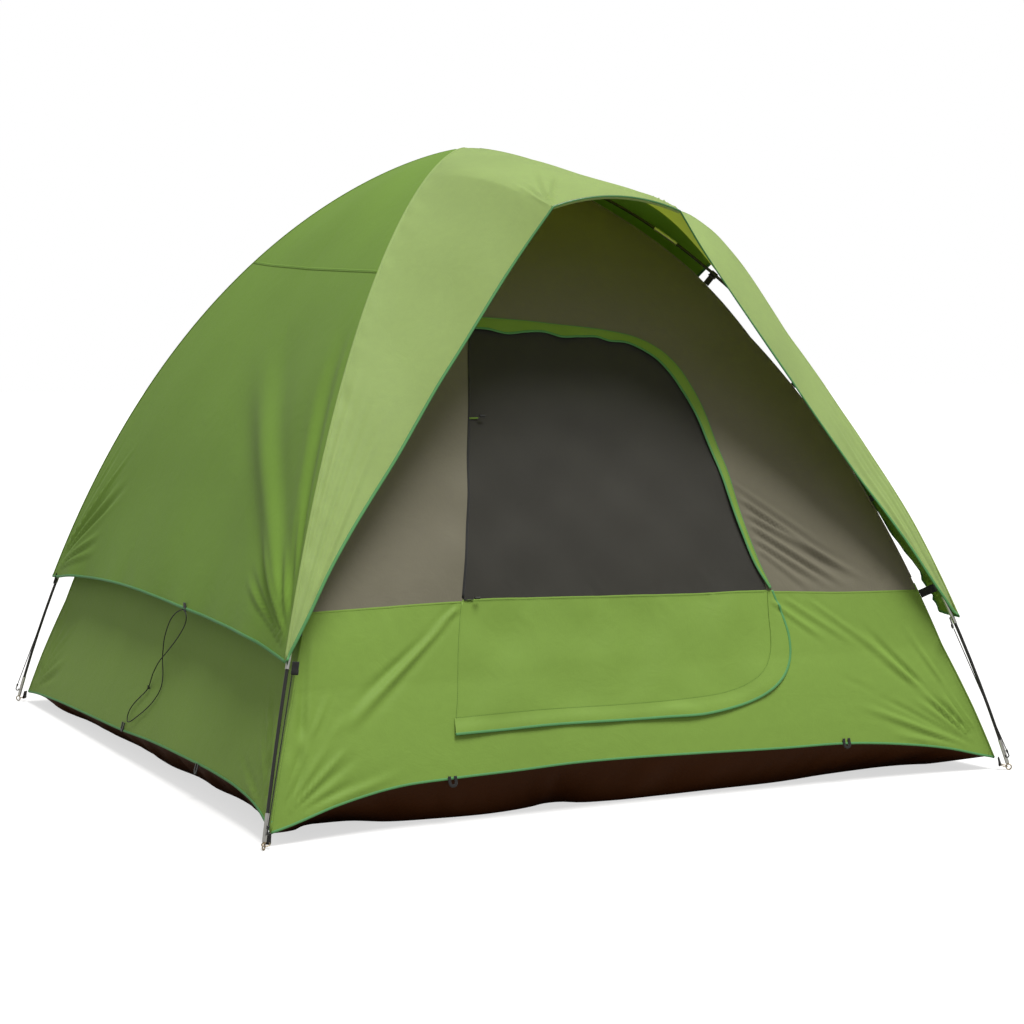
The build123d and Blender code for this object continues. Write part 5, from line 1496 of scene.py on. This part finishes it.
# stake loops under the seam
n_loop = 0
for side, us in (("front", (-.640, .640)), ("back", (-.640, .640)), ("left", (-.640, .108)), ("right", (-.640, .108))):
    for u in us:
        if side in ("front", "back"):
            z = old_hem(u, 1.172, .135, .042) - .0035
            sg = -1 if side == "front" else 1
            o0 = np.array([u, sg * (float(np.interp(z, EZ, ER)) * UY + .0004), z + .005])
            nr3, xd = unit([0, sg, 0.28]), np.array([1.0, 0, 0])
        else:
            z = old_hem(u, 1.289, .100, .042) - .0035
            sg = -1 if side == "left" else 1
            o0 = np.array([sg * (float(np.interp(z, EZ, ER)) * UX + .0004), u, z + .005])
            nr3, xd = unit([sg, 0, 0.28]), np.array([0, 1.0, 0])
        dn = unit(np.cross(nr3, xd))
        dn = -dn if dn[2] > 0 else dn
        c0 = o0 + nr3 * 0.0023
        P = [c0 - xd * 0.0088 - dn * 0.004, c0 - xd * 0.0092 + dn * 0.006, c0 - xd * 0.0090 + dn * 0.0150, c0 - xd * 0.0062 + dn * 0.0208, c0 + dn * 0.0225,
             c0 + xd * 0.0062 + dn * 0.0208, c0 + xd * 0.0090 + dn * 0.0150, c0 + xd * 0.0092 + dn * 0.006, c0 + xd * 0.0088 - dn * 0.004]
        ribbon(f"stake_loop_{n_loop}", P, [nr3] * 9, 0.0085, 0.0026, M_WEB, "root", ["stake_loops"] if n_loop == 0 else ())
        n_loop += 1

# tie-back loops: doubled elastic from the hinge seam to the toggle
for i, (x, z, mt) in enumerate(((-.399, 1.084, M_GREEN), (-.524, .588, M_WEB))):
    sz = float(bf.s_of(z))
    nrm = bf.normal(np.array([sz]))[0]
    base = bf.pos(np.array([x + .003]), np.array([sz]))[0]
    sx, sy = np.array([1.0, 0, 0]), np.cross(nrm, np.array([1.0, 0, 0]))
    P = [base + sx * a + sy * b + nrm * h for a, b, h in (
        (0, -.0015, .0014), (.010, -.0014, .0022), (.021, -.0013, .0030), (.0265, -.0008, .0036), (.0278, 0, .0038), (.0265, .0008, .0036),
        (.021, .0013, .0030), (.010, .0014, .0022), (0, .0015, .0014))]
    o = tube(f"toggle_loop_{i}", resample(catmull(P, 60), 0.0012), 0.0011, mt, sect=8, up=tuple(nrm + 0.01))
    place(o, "door", ["toggle_loops"] if i == 0 else ())

# guy tabs on the fly's hem
zh = 0.467 + 0.050 * (1 - min(0.297 / (fly_r(0.467) * UY), 1.1) ** 2)
xg = -fly_r(zh + 0.012) * UX
gx = np.array([xg - 0.0032, -0.297, 0.0])
P = [gx + Z3 * 0.5240, gx + Z3 * 0.512, gx + Z3 * 0.500 - np.array([0.0003, 0, 0]), gx + Z3 * 0.4966 + np.array([0.0008, 0, 0]), gx + Z3 * 0.500 + np.array([0.0018, 0, 0]),
     gx + Z3 * 0.514 + np.array([0.0018, 0, 0])]
ribbon("guy_tab_left", P, [(-1, 0, 0), (-1, 0, 0), (-1, 0, 0), (0, 0, -1), (1, 0, 0), (1, 0, 0)], 0.0240, 0.0013, M_WEB, "fly", ["guy_tabs"])
yb = fly_r(0.467 + 0.050 + 0.020) * UY
P = [(0, yb + 0.0030, 0.5250), (0, yb + 0.0033, 0.508), (0, yb + 0.0030, 0.4930)]
ribbon("guy_tab_back", P, [(0, 1, 0)] * 3, 0.0420, 0.0018, M_WEB, "fly")

# zip along the doorway's sill: tape and coil
zx = np.linspace(-.600, .170, 90)
zs_ = np.full(90, float(bf.s_of(.2445)))
o = sweep("zip_tape_strip", bf.pos(zx, zs_, 0.0008), bf.normal(zs_), 0.0080, 0.0011, M_ZIP, sect=8)
place(o, "root", ["door_zip_tape"])
zs_ = np.full(90, float(bf.s_of(.246)))
o = stitches("zip_coil", bf.pos(zx, zs_, 0.0006), bf.normal(zs_), M_CLIP, pitch=0.0018, length=0.0011, r=0.0013, off=0.0004)
place(o, "root")


def hook_piece(name, top, d, out):
    """Small moulded hook: barrel for the cord's knot, then an open J."""
    top, d, out = np.array(top, float), np.array(d, float), np.array(out, float)
    d /= np.linalg.norm(d)
    out = out - d * (out @ d)
    out /= np.linalg.norm(out)
    P = [top - d * 0.001 * k for k in (-2, 0, 3, 6, 9)]
    c = top - d * 0.015 + out * -0.0055
    for k in range(0, 11):
        a = math.radians(0 + 22 * k)
        P.append(c + out * 0.0055 * math.cos(a) - d * 0.0055 * math.sin(a))
    r = [0.0030, 0.0034, 0.0034, 0.0026, 0.0020] + [0.0019] * 10 + [0.0014]
    return tube(name, P, r, M_CLIP, sect=10, up=tuple(np.cross(d, out) + d * 0.01))


hooks = {}
for c, pts in CORD_PTS.items():
    a, b = np.array(pts[0]), np.array(pts[-1])
    d = (a - b) / np.linalg.norm(a - b)
    dx, dy = np.sign(b[0]), np.sign(b[1])
    hooks[c] = hook_piece(f"corner_hook_{c}", b, d, (UX * dx, UY * dy, 0))
    place(hooks[c], "fly", ["fly_hooks"] if c == "fl" else ())

knot_pts = []
for k in range(26):
    a = k / 25 * 2 * math.pi * 1.5
    knot_pts.append((-1.113 + 0.0030 * math.cos(a) * 0.8, -0.039 + 0.0034 * math.sin(a), 0.236 + 0.0046 * math.sin(a * 0.66) - 0.001))
knot = tube("guy_line_knot", knot_pts, 0.0017, M_CORD, sect=10)
place(knot, "fly", ["guy_cord_knot"])

# ---------------------------------------------------------------- materials on the CAD parts that stay
CAD_MATS = {
    "pole_a_sections": M_POLE, "pole_b_sections": M_POLE, "pole_a_ferrules": M_STEEL, "pole_b_ferrules": M_STEEL,
    "pole_a_end_tips": M_STEEL, "pole_b_end_tips": M_STEEL, "pole_a_shock_cord": M_ELASTIC, "pole_b_shock_cord": M_ELASTIC,
    "foot_pins": M_PIN, "foot_rings": M_PIN, "pole_clips": M_CLIP, "apex_hub": M_CLIP, "tie_back_toggles": M_CLIP,
    "door_zip_slider": M_SLIDER, "door_zip_pull": M_SLIDER, "brow_pole": M_POLE,
}
for n_, m_ in CAD_MATS.items():
    for sl in NODES[n_].material_slots:
        sl.material = m_

# ---------------------------------------------------------------- each soft piece's flat-size note cleared
declare(front_low)
declare(front_up)
declare(lw)
declare(lu)
declare(rw)
declare(ru_)
declare(bw_)
declare(bu)
declare(roof)
declare(floor_tub)
declare(door_low)
declare(door_win)
declare(flap_up)
declare(flap_lo)
declare(fly_left)
declare(fly_back)
declare(fly_right)
declare(fly_right_f)
declare(fly_right_b)
declare(visor)

# ---------------------------------------------------------------- studio
me = bpy.data.meshes.new("floor_plane")
me.from_pydata([(-60, -60, -0.0005), (60, -60, -0.0005), (60, 60, -0.0005), (-60, 60, -0.0005)], [], [(0, 1, 2, 3)])
ground = link(bpy.data.objects.new("floor_plane", me))
gm, gnt, gbs = new_mat("pale_floor")
gob = node(gnt, "ShaderNodeTexCoord").outputs["Object"]
gnt.links.new(ramp(gnt, tex_noise(gnt, gob, 2.0, 3.0), [(0.3, (0.86, 0.86, 0.86)), (0.7, (0.90, 0.90, 0.90))]), gbs.inputs["Base Color"])
gbs.inputs["Roughness"].default_value = 0.9
# a light table: it glows a little to the camera and sends less light back up
ggl = node(gnt, "ShaderNodeEmission")
ggl.inputs["Color"].default_value = (1, 1, 1, 1)
ggl.inputs["Strength"].default_value = 1.15
gdim = node(gnt, "ShaderNodeBsdfDiffuse")
gdim.inputs["Color"].default_value = (0.34, 0.335, 0.31, 1)
gmix = node(gnt, "ShaderNodeMixShader")
gmix.inputs[0].default_value = 0.55
gcam = node(gnt, "ShaderNodeMixShader")
glp = node(gnt, "ShaderNodeLightPath")
gnt.links.new(gbs.outputs[0], gmix.inputs[1])
gnt.links.new(ggl.outputs[0], gmix.inputs[2])
gnt.links.new(glp.outputs["Is Camera Ray"], gcam.inputs[0])
gnt.links.new(gdim.outputs[0], gcam.inputs[1])
gnt.links.new(gmix.outputs[0], gcam.inputs[2])
gnt.links.new(gcam.outputs[0], gnt.nodes["Material Output"].inputs["Surface"])
me.materials.append(gm)

w = bpy.data.worlds.new("studio")
scene.world = w
w.use_nodes = True
wn = w.node_tree
bg = wn.nodes["Background"]
bg.inputs["Color"].default_value = (1.0, 0.985, 0.94, 1)
bg.inputs["Strength"].default_value = 0.42
bg2 = node(wn, "ShaderNodeBackground")
bg2.inputs["Color"].default_value = (1, 1, 1, 1)
bg2.inputs["Strength"].default_value = 1.0
lp = node(wn, "ShaderNodeLightPath")
mx = node(wn, "ShaderNodeMixShader")
wn.links.new(lp.outputs["Is Camera Ray"], mx.inputs[0])
wn.links.new(bg.outputs[0], mx.inputs[1])
wn.links.new(bg2.outputs[0], mx.inputs[2])
wn.links.new(mx.outputs[0], wn.nodes["World Output"].inputs["Surface"])


def sun(name, direction, strength, angle, colour=(1, 1, 1)):
    d = bpy.data.lights.new(name, "SUN")
    d.energy = strength
    d.angle = math.radians(angle)
    d.color = colour
    o = link(bpy.data.objects.new(name, d))
    o.rotation_mode = "QUATERNION"
    o.rotation_quaternion = Vector(direction).to_track_quat("-Z", "Y")
    return o


sun("key", (-0.13, 0.26, -1.0), 3.8, 28, (1.0, 0.99, 0.97))
